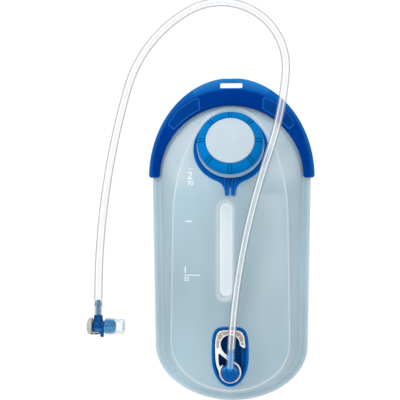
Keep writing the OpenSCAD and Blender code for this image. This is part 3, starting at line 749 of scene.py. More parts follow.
def loft(name, rows, look, place, cap_low=True, cap_high=True, angle=35):
    """A skin through closed rings with equal numbers of points."""
    count = len(rows[0])
    points = np.concatenate([np.array(r, float) for r in rows])
    faces = grid_faces(len(rows), count)
    if cap_low:
        faces.append(tuple(range(count - 1, -1, -1)))
    if cap_high:
        faces.append(tuple(range((len(rows) - 1) * count, len(rows) * count)))
    return finish_mesh(name, place(points), faces, look, angle=angle)


def at_height(line, z):
    return np.column_stack([line, np.full(len(line), float(z))])


front_film, front_rows, front_pale = build_front_film()
thicken(front_film, 0.5)
port_cutter = loft("port_cutter", [at_height(egg(1.2), z) for z in (-16, 8)], None, on_port)
neck_cutter = revolve("neck_cutter", [(0, -14), (34.2, -14), (34.2, 12), (0, 12)], on_cap, None)
for cutter in (port_cutter, neck_cutter):
    cut(front_film, cutter)
    bpy.data.objects.remove(cutter)

ring_points = np.concatenate(front_rows)
ring_points[:, 2] += BASE_Z
ring_pale = np.repeat(np.array(front_pale), len(front_rows[0]))
tree = kdtree.KDTree(len(ring_points))
for i, p in enumerate(ring_points):
    tree.insert(Vector(p), i)
tree.balance()


# The film's front side is paler round the tall weld, and in a glare that runs across from GLARE_X
FRONT_SIDE = -8.0
TIE_HALO = 7.0
GLARE_X = 20.0
GLARE_W = 44.0


def tie_distance(x, z):
    """Distance outside the tall weld's outline, negative inside it."""
    return math.hypot(x - TIE_X, z - min(max(z, TIE_LOW), TIE_HIGH)) - TIE_R


def film_pale(point):
    """Whiter on weld lines, in a painted highlight along the moulded edge, and in soft glares on the right
    and on the slope.
    """
    value = ring_pale[tree.find(point)[1]]
    x, z = point[0], point[2] - BASE_Z
    if point[1] > FRONT_SIDE:
        return value
    outside = tie_distance(x, z)
    if 0 < outside < TIE_HALO:
        value = max(value, 0.42 * (1 - outside / TIE_HALO))
    if GLARE_X < x < GLARE_X + GLARE_W and z < SLOPE_Z:
        glare = math.sin(math.pi * (x - GLARE_X) / GLARE_W) * min(1.0, max(0.0, (z - 70) / 90))
        value = max(value, 0.26 * glare * (0.7 + 0.6 * noise.noise(Vector((x / 30, 1.7, z / 60)))))
    if z > SLOPE_Z:
        t = min(1.0, (z - SLOPE_Z) / 26.0)
        patch = 0.5 + 0.5 * noise.noise(Vector((x / 24, 0.3, z / 32)))
        value = max(value, (0.04 + 0.40 * patch) * t * t * (3 - 2 * t))
    return min(value, 1.0)


def film_glow(point):
    """The deep weld is lit through the films round it."""
    z = point[2] - BASE_Z
    outside = tie_distance(point[0], z)
    if outside > 1.4 or point[1] > FILM_Y:
        return 0.0
    return 0.32 if outside > -0.3 else 0.15


paint(front_film, "pale", film_pale)
paint(front_film, "glow", film_glow)
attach(front_film, "reservoir")
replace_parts(front_film, "front_film")


def build_back_film():
    flat = FILM_Y + 0.6
    rows = [at_depth(edge_line(0), FILM_Y + 0.3)]
    rows += [at_depth(edge_line(inset), flat) for inset in (0.3, 4.5, WELD_W)]
    inner, tie = edge_line(WELD_W), tie_line(TIE_R)
    for t in np.linspace(0, 1, 24)[1:]:
        puff = 2.2 * (1 - (2 * t - 1) ** 4)
        rows.append(at_depth(inner + (tie - inner) * t, flat + puff))
    for r in (TIE_R * 0.6, TIE_R * 0.25, 0.0):
        rows.append(at_depth(tie_line(r), flat - 0.1))
    count = len(inner)
    points = np.concatenate(rows)
    points[:, 2] += BASE_Z
    points[:, 1] += ripple(points + 500, 34.0, 0.5, 0.7) * inside_weld(rows)
    piece = finish_mesh("film_back", points, grid_faces(len(rows), count), "film_back", angle=180)
    thicken(piece, 0.5)

    def pale(point):
        z = point[2] - BASE_Z
        inside = abs(point[0] - TIE_X) < TIE_R + 0.5 and TIE_LOW - TIE_R < z < TIE_HIGH + TIE_R
        return 0.9 if inside else 0.0

    paint(piece, "pale", pale)
    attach(piece, "reservoir")
    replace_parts(piece, "back_film")


build_back_film()


# ---------- hanger ----------

def ellipse_r(a, b, turn):
    return 1 / math.sqrt((math.cos(turn) / a) ** 2 + (math.sin(turn) / b) ** 2)


def arch_out(turn):
    return min(ellipse_r(ARCH_A, ARCH_B, turn), ARCH_TOP / max(math.sin(turn), 1e-3))


def circle_r(radius, up, turn):
    return up * math.sin(turn) + math.sqrt(radius ** 2 - (up * math.cos(turn)) ** 2)


def arch_face(turn):
    return min(ellipse_r(ARCH_A - 4, ARCH_B - 4, turn), circle_r(FACE_R, FACE_UP, turn))


def arch_turns():
    """Angles along the arch, closer together at its two feet."""
    foot = [math.degrees(d / ARCH_IN) for d in (0, 0.25, 0.7, 1.3, 2.1, 3.0)]
    middle = list(np.linspace(foot[-1], 180 - foot[-1], 230))[1:-1]
    return [math.radians(a) for a in foot + middle + [180 - f for f in reversed(foot)]]


def foot_round(turn, radius=3.0):
    """How far an edge draws in near a foot, to round the foot's corners."""
    d = ARCH_IN * min(turn, math.pi - turn)
    return radius - math.sqrt(max(radius ** 2 - (radius - d) ** 2, 0)) if d < radius else 0.0


def arch_sweep(name, section, look):
    """A closed section, given as (radius, depth) for each angle, swept along the arch."""
    rows = []
    for turn in arch_turns():
        line = section(turn, foot_round(turn))
        rows.append([(r * math.cos(turn), SHOULDER_Z + r * math.sin(turn), d) for r, d in line])
    return loft(name, rows, look, on_wall, angle=42)


def slot_line(grow):
    """The slot's outline, grown on every side."""
    x, z = SLOT_W / 2 + grow, SLOT_H / 2 + grow
    points = [(-x, SLOT_Z - z), (x, SLOT_Z - z), (x, SLOT_Z + z), (-x, SLOT_Z + z)]
    return np.array(rounded(points, 1.6 + grow, True, 6))


def slot_cutter(back, flare_back, flare_front, front):
    """The slot as a solid, wider at both mouths."""
    steps = [(flare_back, back), (0.0, back + 0.9), (0.0, front - 0.9), (flare_front, front),
             (flare_front, front + 5)]
    return loft("slot_cutter", [at_height(slot_line(g), d) for g, d in steps], None, on_wall)


def rim_section(turn, foot):
    """The lighter outer band, which slopes back from the face's edge to the outline; its lighter blue is
    painted light falling from above.
    """
    r_in, r_out, r_face = ARCH_IN + foot, arch_out(turn) - foot, arch_face(turn) - foot
    line = [(r_in + 1.5, 3.0), (r_out, 3.0), (r_out, 5.2), (r_face - 0.5, 8.6), (r_face - 4, 8.9),
            (r_in + 1.5, 8.9)]
    return rounded(line, 0.7, True, 3)


def face_section(turn, foot):
    """The dark raised face."""
    r_in, r_face = ARCH_IN + foot, arch_face(turn) - foot
    line = [(r_in, 3.6), (r_face - 3, 3.6), (r_face - 0.4, 8.0), (r_face - 1.0, 10.0), (r_in, 10.0)]
    return rounded(line, 0.8, True, 4)


def back_section(turn, foot):
    r_in, r_out = ARCH_IN + foot, arch_out(turn) - foot
    return rounded([(r_in, 0.0), (r_out, 0.0), (r_out, 3.0), (r_in, 3.0)], 0.7, True, 4)


hanger_rim = arch_sweep("hanger_front_band", rim_section, "arch_rim")
hanger_face = arch_sweep("hanger_front_face", face_section, "arch")
hanger_back = arch_sweep("hanger_back_shell", back_section, "arch")
cutter = slot_cutter(-1.0, 1.2, 1.4, 8.6)
for part in (hanger_rim, hanger_back):
    cut(part, cutter)
    part.data.shade_smooth()
    part.data.set_sharp_from_angle(angle=math.radians(35))
bpy.data.objects.remove(cutter)


def band_lit(point):
    """The outer band is brightest on its outer half and each side of the slot."""
    z = point[2] - BASE_Z
    turn = math.atan2(max(z - SHOULDER_Z, 0.01), point[0])
    r = math.hypot(point[0], z - SHOULDER_Z)
    across = (r - arch_face(turn)) / max(arch_out(turn) - arch_face(turn), 0.5)
    near_slot = math.exp(-((abs(point[0]) - 20) / 11.0) ** 2)
    wedge = near_slot * min(1.0, across * 5) * min(1.0, max(0.12, (0.72 - across) / 0.2))
    edge = 0.45 if across > 0.93 else 0.0
    return min(1.0, max(0.85 * wedge + 0.22 * max(0.0, across - 0.2), edge))


paint(hanger_rim, "lit", band_lit)
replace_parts(hanger_face, "hanger_front")
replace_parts(hanger_back, "hanger_back")


def pad_point(u, v, side):
    """A place on a grip pad: u runs along the arch and v across it."""
    low, high = math.radians(40), math.acos(35.8 / (PAD_IN + 9 * v))
    turn = low + (high - low) * u
    outer = min(ellipse_r(PAD_A, PAD_B, turn), circle_r(PAD_R, FACE_UP, turn))
    r = PAD_IN + (outer - PAD_IN) * v
    return side * r * math.cos(turn), SHOULDER_Z + r * math.sin(turn)


def build_pad(name, side):
    """A thin pad with round corners, a raised outline and rows of small four-sided studs."""
    corner_u, corner_v = 0.05, 0.22
    stud_long, stud_wide = 0.62, 0.42
    loop = []
    for cu, cv, a0 in ((1 - corner_u, 1 - corner_v, 0), (corner_u, 1 - corner_v, 90),
                       (corner_u, corner_v, 180), (1 - corner_u, corner_v, 270)):
        for k in range(9):
            a = math.radians(a0 + 90 * k / 8)
            loop.append((cu + corner_u * math.cos(a), cv + corner_v * math.sin(a)))
    dense = []
    for i, p in enumerate(loop):
        q = loop[(i + 1) % len(loop)]
        parts = max(1, int(abs(q[0] - p[0]) / 0.04))
        for k in range(parts):
            dense.append((p[0] + (q[0] - p[0]) * k / parts, p[1] + (q[1] - p[1]) * k / parts))
    flat = [pad_point(u, v, side) for u, v in dense]
    pad = plate(name, [flat], 9.8, 10.35, 0.2, on_wall, "pad", 2)
    ridge = on_wall([(x, z, 10.2) for x, z in flat])
    sweep(name + "_outline", ridge, 0.45, "pad_line", closed=True)
    verts, faces = [], []
    along, across = 30, 9
    for i in range(along):
        for j in range(across):
            u = 0.05 + 0.90 * (i + 0.5 * (j % 2)) / along
            v = 0.12 + 0.76 * j / (across - 1)
            x, z = pad_point(u, v, side)
            x2, z2 = pad_point(u + 0.01, v, side)
            length = math.hypot(x2 - x, z2 - z)
            ax, az = (x2 - x) / length, (z2 - z) / length
            n = len(verts)
            for dx, dz, size in ((ax, az, stud_long), (-az, ax, stud_wide), (-ax, -az, stud_long),
                                 (az, -ax, stud_wide)):
                verts.append((x + dx * size, z + dz * size, PAD_TOP))
            verts.append((x, z, STUD_TOP))
            faces += [(n + k, n + (k + 1) % 4, n + 4) for k in range(4)]
            faces.append((n + 3, n + 2, n + 1, n))
    finish_mesh(name + "_diamonds", on_wall(verts), faces, "pad_dot", smooth=False)
    return pad


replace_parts(build_pad("grip_right", 1), "grip_pad_right")
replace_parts(build_pad("grip_left", -1), "grip_pad_left")


# ---------- filling neck and cap ----------

COLLAR_R = 42.5
TAIL_HALF = 6.0
TAIL_LEN = 57.0
FILLET_R = 16.0


def collar_loop():
    """Teardrop: a disc that runs down into a narrow tail through two fillets, with a slit in the tail."""
    fx = TAIL_HALF + FILLET_R
    fy = -math.sqrt((COLLAR_R + FILLET_R) ** 2 - fx * fx)
    meet = math.atan2(fy, fx)
    loop = []
    for k in range(121):
        a = meet + (math.pi - 2 * meet) * k / 120
        loop.append((COLLAR_R * math.cos(a), COLLAR_R * math.sin(a)))
    start = math.atan2(-fy, fx)
    for k in range(1, 17):
        a = start * (1 - k / 16)
        loop.append((-fx + FILLET_R * math.cos(a), fy + FILLET_R * math.sin(a)))
    loop += [(-TAIL_HALF, -TAIL_LEN + 1.5), (-TAIL_HALF + 0.6, -TAIL_LEN), (-0.9, -TAIL_LEN),
             (-0.9, -TAIL_LEN + 8.6), (0.0, -TAIL_LEN + 9.6), (0.9, -TAIL_LEN + 8.6), (0.9, -TAIL_LEN),
             (TAIL_HALF - 0.6, -TAIL_LEN), (TAIL_HALF, -TAIL_LEN + 1.5)]
    for k in range(0, 16):
        a = math.pi - start * k / 16
        loop.append((fx + FILLET_R * math.cos(a), fy + FILLET_R * math.sin(a)))
    return loop


NECK_HOLE_R = 31.0
neck_turns = [2 * math.pi * k / 96 for k in range(96)]
neck_hole = [(NECK_HOLE_R * math.cos(a), NECK_HOLE_R * math.sin(a)) for a in neck_turns]
collar = plate("collar_flange", [collar_loop(), neck_hole], 0.0, 2.5, 0.7, on_cap, "collar", 3)
neck_wall = rounded([(30, -3), (33.5, -3), (33.5, 18), (30, 18)], 0.6, True)
revolve("filling_neck", neck_wall, on_cap, "collar", closed=True)
disc_part = [p for p in collar_loop() if p[1] > -COLLAR_R - 5]
bead_line = on_cap([(x * 1.006, y * 1.006, 0.4) for x, y in disc_part])
sweep("collar_weld_bead", bead_line, 0.6, "collar_bead", normal=CAP_AXIS)
for side, word in SIDES:
    for k, x in enumerate((5.2, 2.0)):
        rail = [(side * x, -TAIL_LEN + 1.2, 2.4), (side * x, -48, 3.2), (side * (x + 0.5), -42.5, 3.8),
                (side * (x + 1.0), -37, 4.2)]
        sweep(f"collar_rail_{word}_{k}", on_cap(rounded(rail, 3)), 0.85 - 0.2 * k,
              "collar", normal=CAP_AXIS, sides=10)


PITCH = 10.0


def thread(name, root, crest, low_z, start, turn, look):
    """Two equal helical ridges, half a turn apart."""
    steps = int(turn / 5)
    out = 1 if root < crest else -1
    verts, faces = [], []
    for first in (0, 180):
        base = len(verts)
        for i in range(steps + 1):
            grow = min(1.0, i / 4, (steps - i) / 4)
            a = math.radians(start + first + turn * i / steps)
            z = low_z + PITCH * (turn * i / steps) / 360
            tip = root + (crest - root) * max(grow, 0.05)
            for r, dz in ((root, -1.1), (tip, -0.6), (tip, 0.6), (root, 1.1)):
                verts.append((r * math.cos(a), r * math.sin(a), z + dz * out))
        for i in range(steps):
            for j in range(4):
                k = (j + 1) % 4
                a, b = base + i * 4 + j, base + i * 4 + k
                faces.append((a, b, b + 4, a + 4))
        faces.append(tuple(base + j for j in range(4)))
        faces.append(tuple(base + steps * 4 + j for j in (3, 2, 1, 0)))
    finish_mesh(name, on_cap(verts), faces, look, angle=40)


thread("neck_thread", 33.1, 35.2, 5.5, 0, 200, "collar")
thread("cap_thread", 36.4, 34.6, 10.5, 20, 150, "skirt")
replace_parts(collar, "fill_collar")

disc = [(0, 19.9), (34.2, 19.9), (34.2, 14.6), (36.0, 13.4), (36.0, 6.2), (36.4, 6.0), (37.6, 6.0),
        (38.1, 6.5), (38.1, 12.0), (37.3, 13.6), (35.6, 14.4), (35.6, 22.6), (28.2, 22.6), (27.6, 23.2),
        (27.6, 24.3), (26.9, 24.9), (25.4, 25.0), (24.9, 24.6), (24.2, 24.5), (12, 24.9), (0, 25.1)]
cap_body = revolve("cap_disc_and_skirt", rounded(disc, 0.35, False, 2), on_cap, "skirt", 128)
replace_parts(cap_body, "cap_body")
disc_face = [(0, 23.0), (27.3, 23.0), (27.3, 24.6), (26.6, 25.15), (25.6, 25.25), (25.0, 24.8),
             (24.2, 24.7), (12, 25.1), (0, 25.3)]
revolve("cap_disc_face", rounded(disc_face, 0.3, False, 3), on_cap, "disc", 128)


def grip_groove(r, z, turn):
    """Pairs of short radial grooves across the ring's top, every eighth of a turn."""
    if r < 28.6 or z < 16:
        return r, z
    eighth = math.pi / 4
    off = (turn + eighth / 2) % eighth - eighth / 2
    across = abs(off) * 33.0
    depth = 0.8 * max(0.0, 1 - ((across - 1.8) / 0.62) ** 2)
    if r > 36.6:
        return r - depth * 0.6, z
    return r, z - depth


ring_profile = [(27.8, 22.7), (27.8, 24.4), (28.4, 25.0), (29.6, 25.2), (31.4, 25.1), (33.2, 24.7),
                (34.9, 23.9), (36.1, 22.8), (36.9, 21.4), (37.3, 19.6), (37.4, 17.6), (37.4, 15.4),
                (37.1, 14.6), (35.8, 14.5), (35.6, 14.9), (35.6, 22.6)]
cap_ring = revolve("cap_grip", rounded(ring_profile, 0.5, True, 2), on_cap, "ring", 720, True,
                   grip_groove, 60)
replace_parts(cap_ring, "cap_grip_ring")


def groove_shade(point):
    """Dark in the ring's grooves."""
    off = np.array(point) - CAP_AT
    turn = math.atan2(off @ CAP_UP, off[0])
    r, z = math.hypot(off @ CAP_UP, off[0]), off @ CAP_AXIS
    if z <= 16:
        return 0.0
    r, z = max(r, 29.0), max(z, 17.0)
    sunk_r, sunk_z = grip_groove(r, z, turn)
    return min(1.0, (abs(sunk_z - z) + 1.6 * abs(sunk_r - r)) / 0.6)


paint(cap_ring, "shade", groove_shade)


# ---------- outlet port, latch and plug ----------

dish = [(1.2, -13.5), (1.0, -0.6), (0.5, -0.6), (0.0, -0.2), (-0.1, 0.8), (0.1, 1.7), (0.7, 2.35),
        (1.4, 2.5), (2.1, 2.35), (2.7, 1.8), (3.0, 1.0), (3.1, -0.5), (3.2, -4.0), (3.4, -8.0),
        (3.8, -10.8), (4.8, -11.6)]
port = loft("port_dish", [at_height(egg(inset), z) for inset, z in dish], "port", on_port, True, False, 50)
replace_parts(port, "port_base")
port_edge = on_port(at_height(egg(-0.25), 0.35))
sweep("port_weld_bead", port_edge, 0.62, "port_bead", closed=True)


def box_loop(x0, y0, x1, y1, radius):
    return rounded([(x0, y0), (x1, y0), (x1, y1), (x0, y1)], radius, True, 5)


floor_hole = box_loop(-13.0, 10.6, -6.2, 24.0, 1.2)
# The recess floor is drawn in the port blue's painted shade.
plate("port_floor", [egg(3.6), floor_hole], -12.6, -11.2, 0.3, on_port, "port_deep", 2)
# The pocket's walls and floor are drawn in near-black navy, painted shade in the hole.
pocket_rows = []
for inset, z in ((0.0, -12.4), (0.0, -24.0), (1.2, -22.8), (0.8, -12.4)):
    line = box_loop(-13.6 + inset, 10.0 + inset, -5.6 - inset, 24.6 - inset, 1.5)
    pocket_rows.append(at_height(np.array(line), z))
loft("port_pocket", pocket_rows, "pocket", on_port, False, False, 40)
plate("port_pocket_floor", [box_loop(-13.4, 10.2, -5.8, 24.4, 1.5)], -24.0, -22.8, 0.2, on_port, "pocket", 2)


def ledge_loop(side):
    """The strip of floor between the dish's wall and a straight edge."""
    wall = egg(3.3)
    edge = 12.5
    keep = [p for p in wall if side * p[0] > edge]
    keep.sort(key=lambda p: p[1])
    return [(side * edge, keep[0][1])] + [(p[0], p[1]) for p in keep] + [(side * edge, keep[-1][1])]


for side, word in SIDES:
    # The left ledge lies under the latch's arm and takes the port blue's painted shade; the right one takes
    # the plain port blue.
    look = "port" if side > 0 else "port_deep"
    plate(f"port_ledge_{word}", [ledge_loop(side)], -12.0, -6.0, 0.5, on_port, look)
# The boss is drawn in the painted shade too.
boss = [(5.56, -22), (9.5, -22), (9.5, -12.4), (8.5, -11.8), (8.5, -4), (5.56, -4)]
revolve("port_boss", rounded(boss, 0.5, True), on_port, "port_deep", closed=True)
housing = [(7.4, -37), (9.5, -37), (9.5, -12.2), (5.56, -12.2), (5.56, -22), (7.4, -22)]
revolve("port_housing", rounded(housing, 0.4, True), on_port, "port", closed=True)


def circle_part(cx, cy, r, a0, a1, count):
    """Points of an arc between two angles in degrees."""
    turns = [math.radians(a0 + (a1 - a0) * k / count) for k in range(count + 1)]
    return [(cx + r * math.cos(a), cy + r * math.sin(a)) for a in turns]


def latch_outer():
    """Hook tip, over the arch, down the left arm, round the ring, up the brace and back under the arch."""
    wall = [tuple(p) for p in egg(3.8, 240, 4.6)]
    arch = sorted((p for p in wall if p[1] > 24.8), key=lambda p: math.atan2(p[1] - 30, p[0]))
    loop = [p for p in arch if math.atan2(p[1] - 30, p[0]) > -0.15]
    tail = [p for p in wall if p[0] < 0 and 22 < p[1] <= 30]
    tail = [p for p in tail if p not in loop]
    loop += sorted(tail, key=lambda p: -p[1])
    loop += [(-16.6, 16), (-16.0, 10.5), (-14.9, 5.6), (-13.5, 2.0)]
    loop += circle_part(0, 0, LATCH_RING_OUT, 184, 433, 60)
    loop += [(4.6, 11.9), (0.4, 15.4), (-4.0, 19.2), (-6.6, 21.6), (-8.8, 24.6), (-10.2, 28.0)]
    loop += circle_part(0, LATCH_MID, LATCH_ARCH_R, 180, 0, 40)
    loop += [(11.1, 30.4), (11.7, 29.4), (12.8, 28.8), (15.3, 27.5), (16.2, 27.3)]
    return loop


def latch_hole():
    """The open middle of the ring and the dark opening between the arm and the brace."""
    loop = circle_part(0, 0, LATCH_RING_IN, 73, -223, 60)
    loop += [(-8.7, 8.2), (-9.6, 7.4), (-10.7, 6.2), (-11.6, 6.6), (-12.4, 8.2), (-13.0, 12.0), (-13.2, 17.0),
             (-13.0, 20.4), (-12.4, 21.0), (-10.8, 20.0), (-7.6, 17.2), (-3.0, 13.6), (1.0, 11.0)]
    return loop


latch = plate("latch", [latch_outer(), latch_hole()], -1.5, 0.7, 0.25, on_port, "white", 2)
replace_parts(latch, "latch_plate")


def shrink(loop, amount):
    """The outline drawn in by a small amount along its own normals."""
    p = np.array(loop, float)
    area = np.sum(p[:, 0] * np.roll(p[:, 1], -1) - np.roll(p[:, 0], -1) * p[:, 1])
    turn = 1.0 if area > 0 else -1.0
    along = np.roll(p, -1, 0) - np.roll(p, 1, 0)
    along = along / np.maximum(np.linalg.norm(along, axis=1)[:, None], 1e-6)
    return p + turn * amount * np.column_stack([-along[:, 1], along[:, 0]])


for word, loop, amount in (("outer", latch_outer(), 0.62), ("inner", latch_hole(), -0.62)):
    line = shrink(loop, amount)
    sweep(f"latch_rim_{word}", on_port(at_height(line, 0.75)), 0.62, "white",
          closed=True, sides=10)


def recess_loop(a0, a1):
    """The sunk band of the latch between its rims, seen from the middle of the arch."""
    wall = egg(5.3, 400, 4.6)
    angles = np.degrees(np.arctan2(wall[:, 1] - LATCH_MID, wall[:, 0])) % 360
    reach = np.hypot(wall[:, 0], wall[:, 1] - LATCH_MID)
    order = np.argsort(angles)
    outer = []
    for k in range(49):
        a = a0 + (a1 - a0) * k / 48
        r = np.interp(a % 360, angles[order], reach[order])
        outer.append((r * math.cos(math.radians(a)), LATCH_MID + r * math.sin(math.radians(a))))
    return outer + circle_part(0, LATCH_MID, LATCH_BAND_R, a0, a1, 48)[::-1]


# The sunk band is the latch's white plastic, drawn in warm grey as painted shade.
plate("latch_recess", [recess_loop(-1, 196)], 0.2, 0.78, 0.08, on_port, "taupe", 1)
for k, a in enumerate((12, 42, 90, 128, 158)):
    c, s = math.cos(math.radians(a)), math.sin(math.radians(a))
    rib = [(r * c, LATCH_MID + r * s, 0.7) for r in (12.0, 15.6)]
    sweep(f"latch_rib_{k}", on_port(rib), 0.42, "white")
for side, word in SIDES:
    pin = [(0, 0), (0.7, 0), (0.7, 3.0), (0, 3.0)]
    on_pin = placer(PORT_AT + np.array([side * 15.6, 0.8, 30.0]), (0, 1, 0), (0, 0, side), (side, 0, 0))
    revolve(f"latch_trunnion_{word}", rounded(pin, 0.2), on_pin, "white", 24)

dome = [(0, -3.7), (7, -3.7), (7, 3.4), (9.4, 3.5), (10.0, 3.9), (10.2, 4.6), (10.2, 6.0), (10.0, 7.6),
        (9.3, 9.3), (8.2, 10.5), (6.6, 11.4), (4.4, 11.85), (2.2, 12.0), (0, 12.0)]
plug_dome = revolve("plug_dome", rounded(dome, 0.8, False, 3), on_port, "plug", 96, angle=60)
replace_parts(plug_dome, "plug_elbow")


def dome_lit(point):
    """Two soft arcs of light on the dome's upper shoulder."""
    x, z = point[0] - HUB_AT[0], point[2] - HUB_AT[2]
    r = math.hypot(x, z)
    turn = math.degrees(math.atan2(z, abs(x)))
    arc = math.exp(-((r - 8.2) / 0.9) ** 2) * math.exp(-((turn - 42) / 20) ** 2)
    return min(1.0, 0.7 * arc) if point[1] < FACE_Y - 6 else 0.0


paint(plug_dome, "lit", dome_lit)
stem = [(2.7, -25), (5.5, -25), (5.5, -15.1), (3.7, -15.1), (3.7, -12.9), (5.5, -12.9), (5.5, -9.1),
        (3.7, -9.1), (3.7, -6.9), (5.5, -6.9), (5.5, -3.0), (2.7, -3.0)]
revolve("plug_stem", rounded(stem, 0.25, True, 2), on_port, "plug", closed=True)
barb = [(2.0, 4.0), (4.2, 4.0), (4.2, 9.0), (3.1, 9.6), (3.1, 16.6), (3.9, 17.0), (3.9, 18.6),
        (3.1, 23.2), (2.7, 27.0), (2.0, 27.0)]
revolve("plug_barb", rounded(barb, 0.4, True, 3), on_barb, "barb", 64, True)


# ---------- hose ----------

def run_end(place, run, share):
    """Where a run gets to from (x, z, heading) after a share of its turn."""
    x, z, heading = place
    radius, degrees = run
    turn = heading + math.radians(degrees) * share
    radius = math.copysign(radius, degrees)
    cx, cz = x - radius * math.sin(heading), z + radius * math.cos(heading)
    return cx + radius * math.sin(turn), cz - radius * math.cos(turn), turn


RUN_START = [(FIRST * math.sin(TILT), FIRST * math.cos(TILT), math.pi / 2 - TILT)]
for run in RUNS:
    RUN_START.append(run_end(RUN_START[-1], run, 1.0))
LEAN_TOP = RUN_START[1][1]


def hose_place(x, z, leaning):
    """A point of the hose's plane in the shared frame: the first run leans forward, the rest is upright."""
    low = z if leaning else LEAN_TOP
    return np.array([x, HUB_AT[1] - low * math.sin(LEAN), HUB_AT[2] + low * (math.cos(LEAN) - 1) + z])


def hose_line(run):
    """Centre-line points of one run."""
    length = RUNS[run][0] * abs(math.radians(RUNS[run][1]))
    count = max(2, int(length / SPACING))
    points = []
    for k in range(count + 1):
        x, z, _ = run_end(RUN_START[run], RUNS[run], k / count)
        points.append(hose_place(x, z, run == 0))
    return points


def joined(*lines):
    """Lines put end to end, without repeating a shared point."""
    out = list(lines[0])
    for line in lines[1:]:
        out += [p for p in line if np.linalg.norm(p - out[-1]) > 0.3]
    return out


def soften(path, passes=6):
    """Evens out the small kink where two runs meet, and leaves the ends where they are."""
    path = np.array(path)
    for _ in range(passes):
        path[1:-1] = path[1:-1] * 0.5 + (path[:-2] + path[2:]) * 0.25
    return path


hose_first = [HUB_AT + BARB_DIR * s for s in (6.5, 8, 11, 14, 16, 18, 20, 23, 26)]
end_x, end_z, _ = RUN_START[5]
hose_last = [hose_place(end_x, end_z - s, False) for s in (2, 5, 8, 10, 12, 14, 16, LAST - 0.7)]
centre = soften(joined(hose_first, *[hose_line(k) for k in range(len(RUNS))], hose_last))
lengths = np.concatenate([[0], np.cumsum(np.linalg.norm(np.diff(centre, axis=0), axis=1))])
TOTAL = lengths[-1]


def hose_point(s):
    """The centre line's place at one or more lengths along it."""
    return np.stack([np.interp(s, lengths, centre[:, i]) for i in range(3)], axis=-1)


def swell(s):
    """Extra radius where the hose is stretched over a barb."""
    from_hub = s + 6.5
    from_end = TOTAL - s
    near_hub = 0.35 * math.exp(-((from_hub - 18.5) / 3.2) ** 2) + 0.1 * (from_hub < 12)
    near_end = 0.35 * math.exp(-((from_end - 11.5) / 3.0) ** 2)
    return near_hub + near_end


def tube(name, s0, s1):
    """One length of hose, with its bore, as a closed mesh."""
    sides = 32
    count = max(3, int((s1 - s0) / SPACING))
    at = np.linspace(s0, s1, count + 1)
    path = hose_point(at)
    tangent = hose_point(at + 1.5) - hose_point(at - 1.5)
    tangent = tangent / np.linalg.norm(tangent, axis=1)[:, None]
    verts, faces = [], []
    for radius in (HOSE_R, BORE_R):
        for i, s in enumerate(at):
            verts += circle_round(path[i], tangent[i], (0, 1, 0), radius + swell(s), sides)
    shell = (count + 1) * sides
    for face in grid_faces(count + 1, sides):
        faces.append(face)
        faces.append(tuple(v + shell for v in reversed(face)))
    for ring in (0, count * sides):
        for j in range(sides):
            k = (j + 1) % sides
            faces.append((ring + j, ring + k, shell + ring + k, shell + ring + j))
    piece = finish_mesh(name, verts, faces, "hose", angle=60)
    middle = (HOSE_R + BORE_R) / 2
    paint(piece, "bore", lambda p: float(np.min(np.linalg.norm(path - np.array(p), axis=1)) < middle))

    def gripped(point):
        """Clearer where the bore is pressed against a barb."""
        s = at[np.argmin(np.linalg.norm(path - np.array(point), axis=1))]
        return 1.0 if s < 20.5 or s > TOTAL - 16 else 0.0

    paint(piece, "gripped", gripped)
    return piece


def length_to(point):
    """How far along the hose its nearest place to a point is."""
    return lengths[np.argmin(np.linalg.norm(centre - np.array(point), axis=1))]


hinges = ["hose_flex_low", "hose_flex_mid", "hose_flex_high", "hose_flex_end"]
hinge_at = [length_to(mm(joints[hinge]["pos_m"])) for hinge in hinges]
cuts = [0.0] + [(hinge_at[i] + hinge_at[i + 1]) / 2 for i in range(3)] + [TOTAL]
stands_for = [("hose_root", "hose_bend_low"), ("hose_rise", "hose_bend_mid"), ("hose_arch", "hose_bend_high"),
              ("hose_fall", "hose_bend_end", "hose_end")]
for k, joint in enumerate(hinges):
    s = hinge_at[k]
    part = tube(f"hose_length_{k + 1}", cuts[k], cuts[k + 1])
    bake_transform(part)
    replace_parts(part, *stands_for[k])


# ---------- mouthpiece ----------

def ball(r, z0, z1, count):
    return [(math.sqrt(max(r * r - z * z, 0)), z) for z in np.linspace(z0, z1, count)]


ball_profile = [(0, -7.9)] + ball(8.0, -7.9, 5.6, 24) + [(6.2, 6.4), (6.2, 7.6), (0, 7.6)]
elbow = revolve("bite_ball", ball_profile, on_bite, "elbow", 72, angle=50)
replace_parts(elbow, "bite_elbow")
sleeve = [(0, 2), (5.4, 2), (5.2, 7.4), (4.9, 8.2), (4.9, 11.6), (4.5, 12.3), (0, 12.3)]
drop_collar = revolve("bite_collar", rounded(sleeve, 0.6), on_drop, "elbow", 64)
tab = [(-4.4, -1.0), (4.4, -1.0), (4.2, -5.0), (2.6, -9.0), (0.9, -12.0), (-0.9, -12.0), (-2.6, -9.0),
       (-4.2, -5.0)]
on_tab = placer(MOUTH_AT, (0, 1, 0), (0, 0, 1), (1, 0, 0))
plate("bite_tab", [rounded(tab, 1.2, True)], 2.5, 6.0, 0.7, on_tab, "elbow", 3)
neck = [(1.8, 9.0), (3.2, 9.0), (3.15, 22.0), (3.9, 22.4), (4.0, 24.2), (3.7, 26.4), (3.0, 28.8),
        (1.8, 28.9)]
end_barb = revolve("hose_end_barb", rounded(neck, 0.5, True, 3), on_drop, "teal", 48, True)
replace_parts(end_barb, "hose_barb")

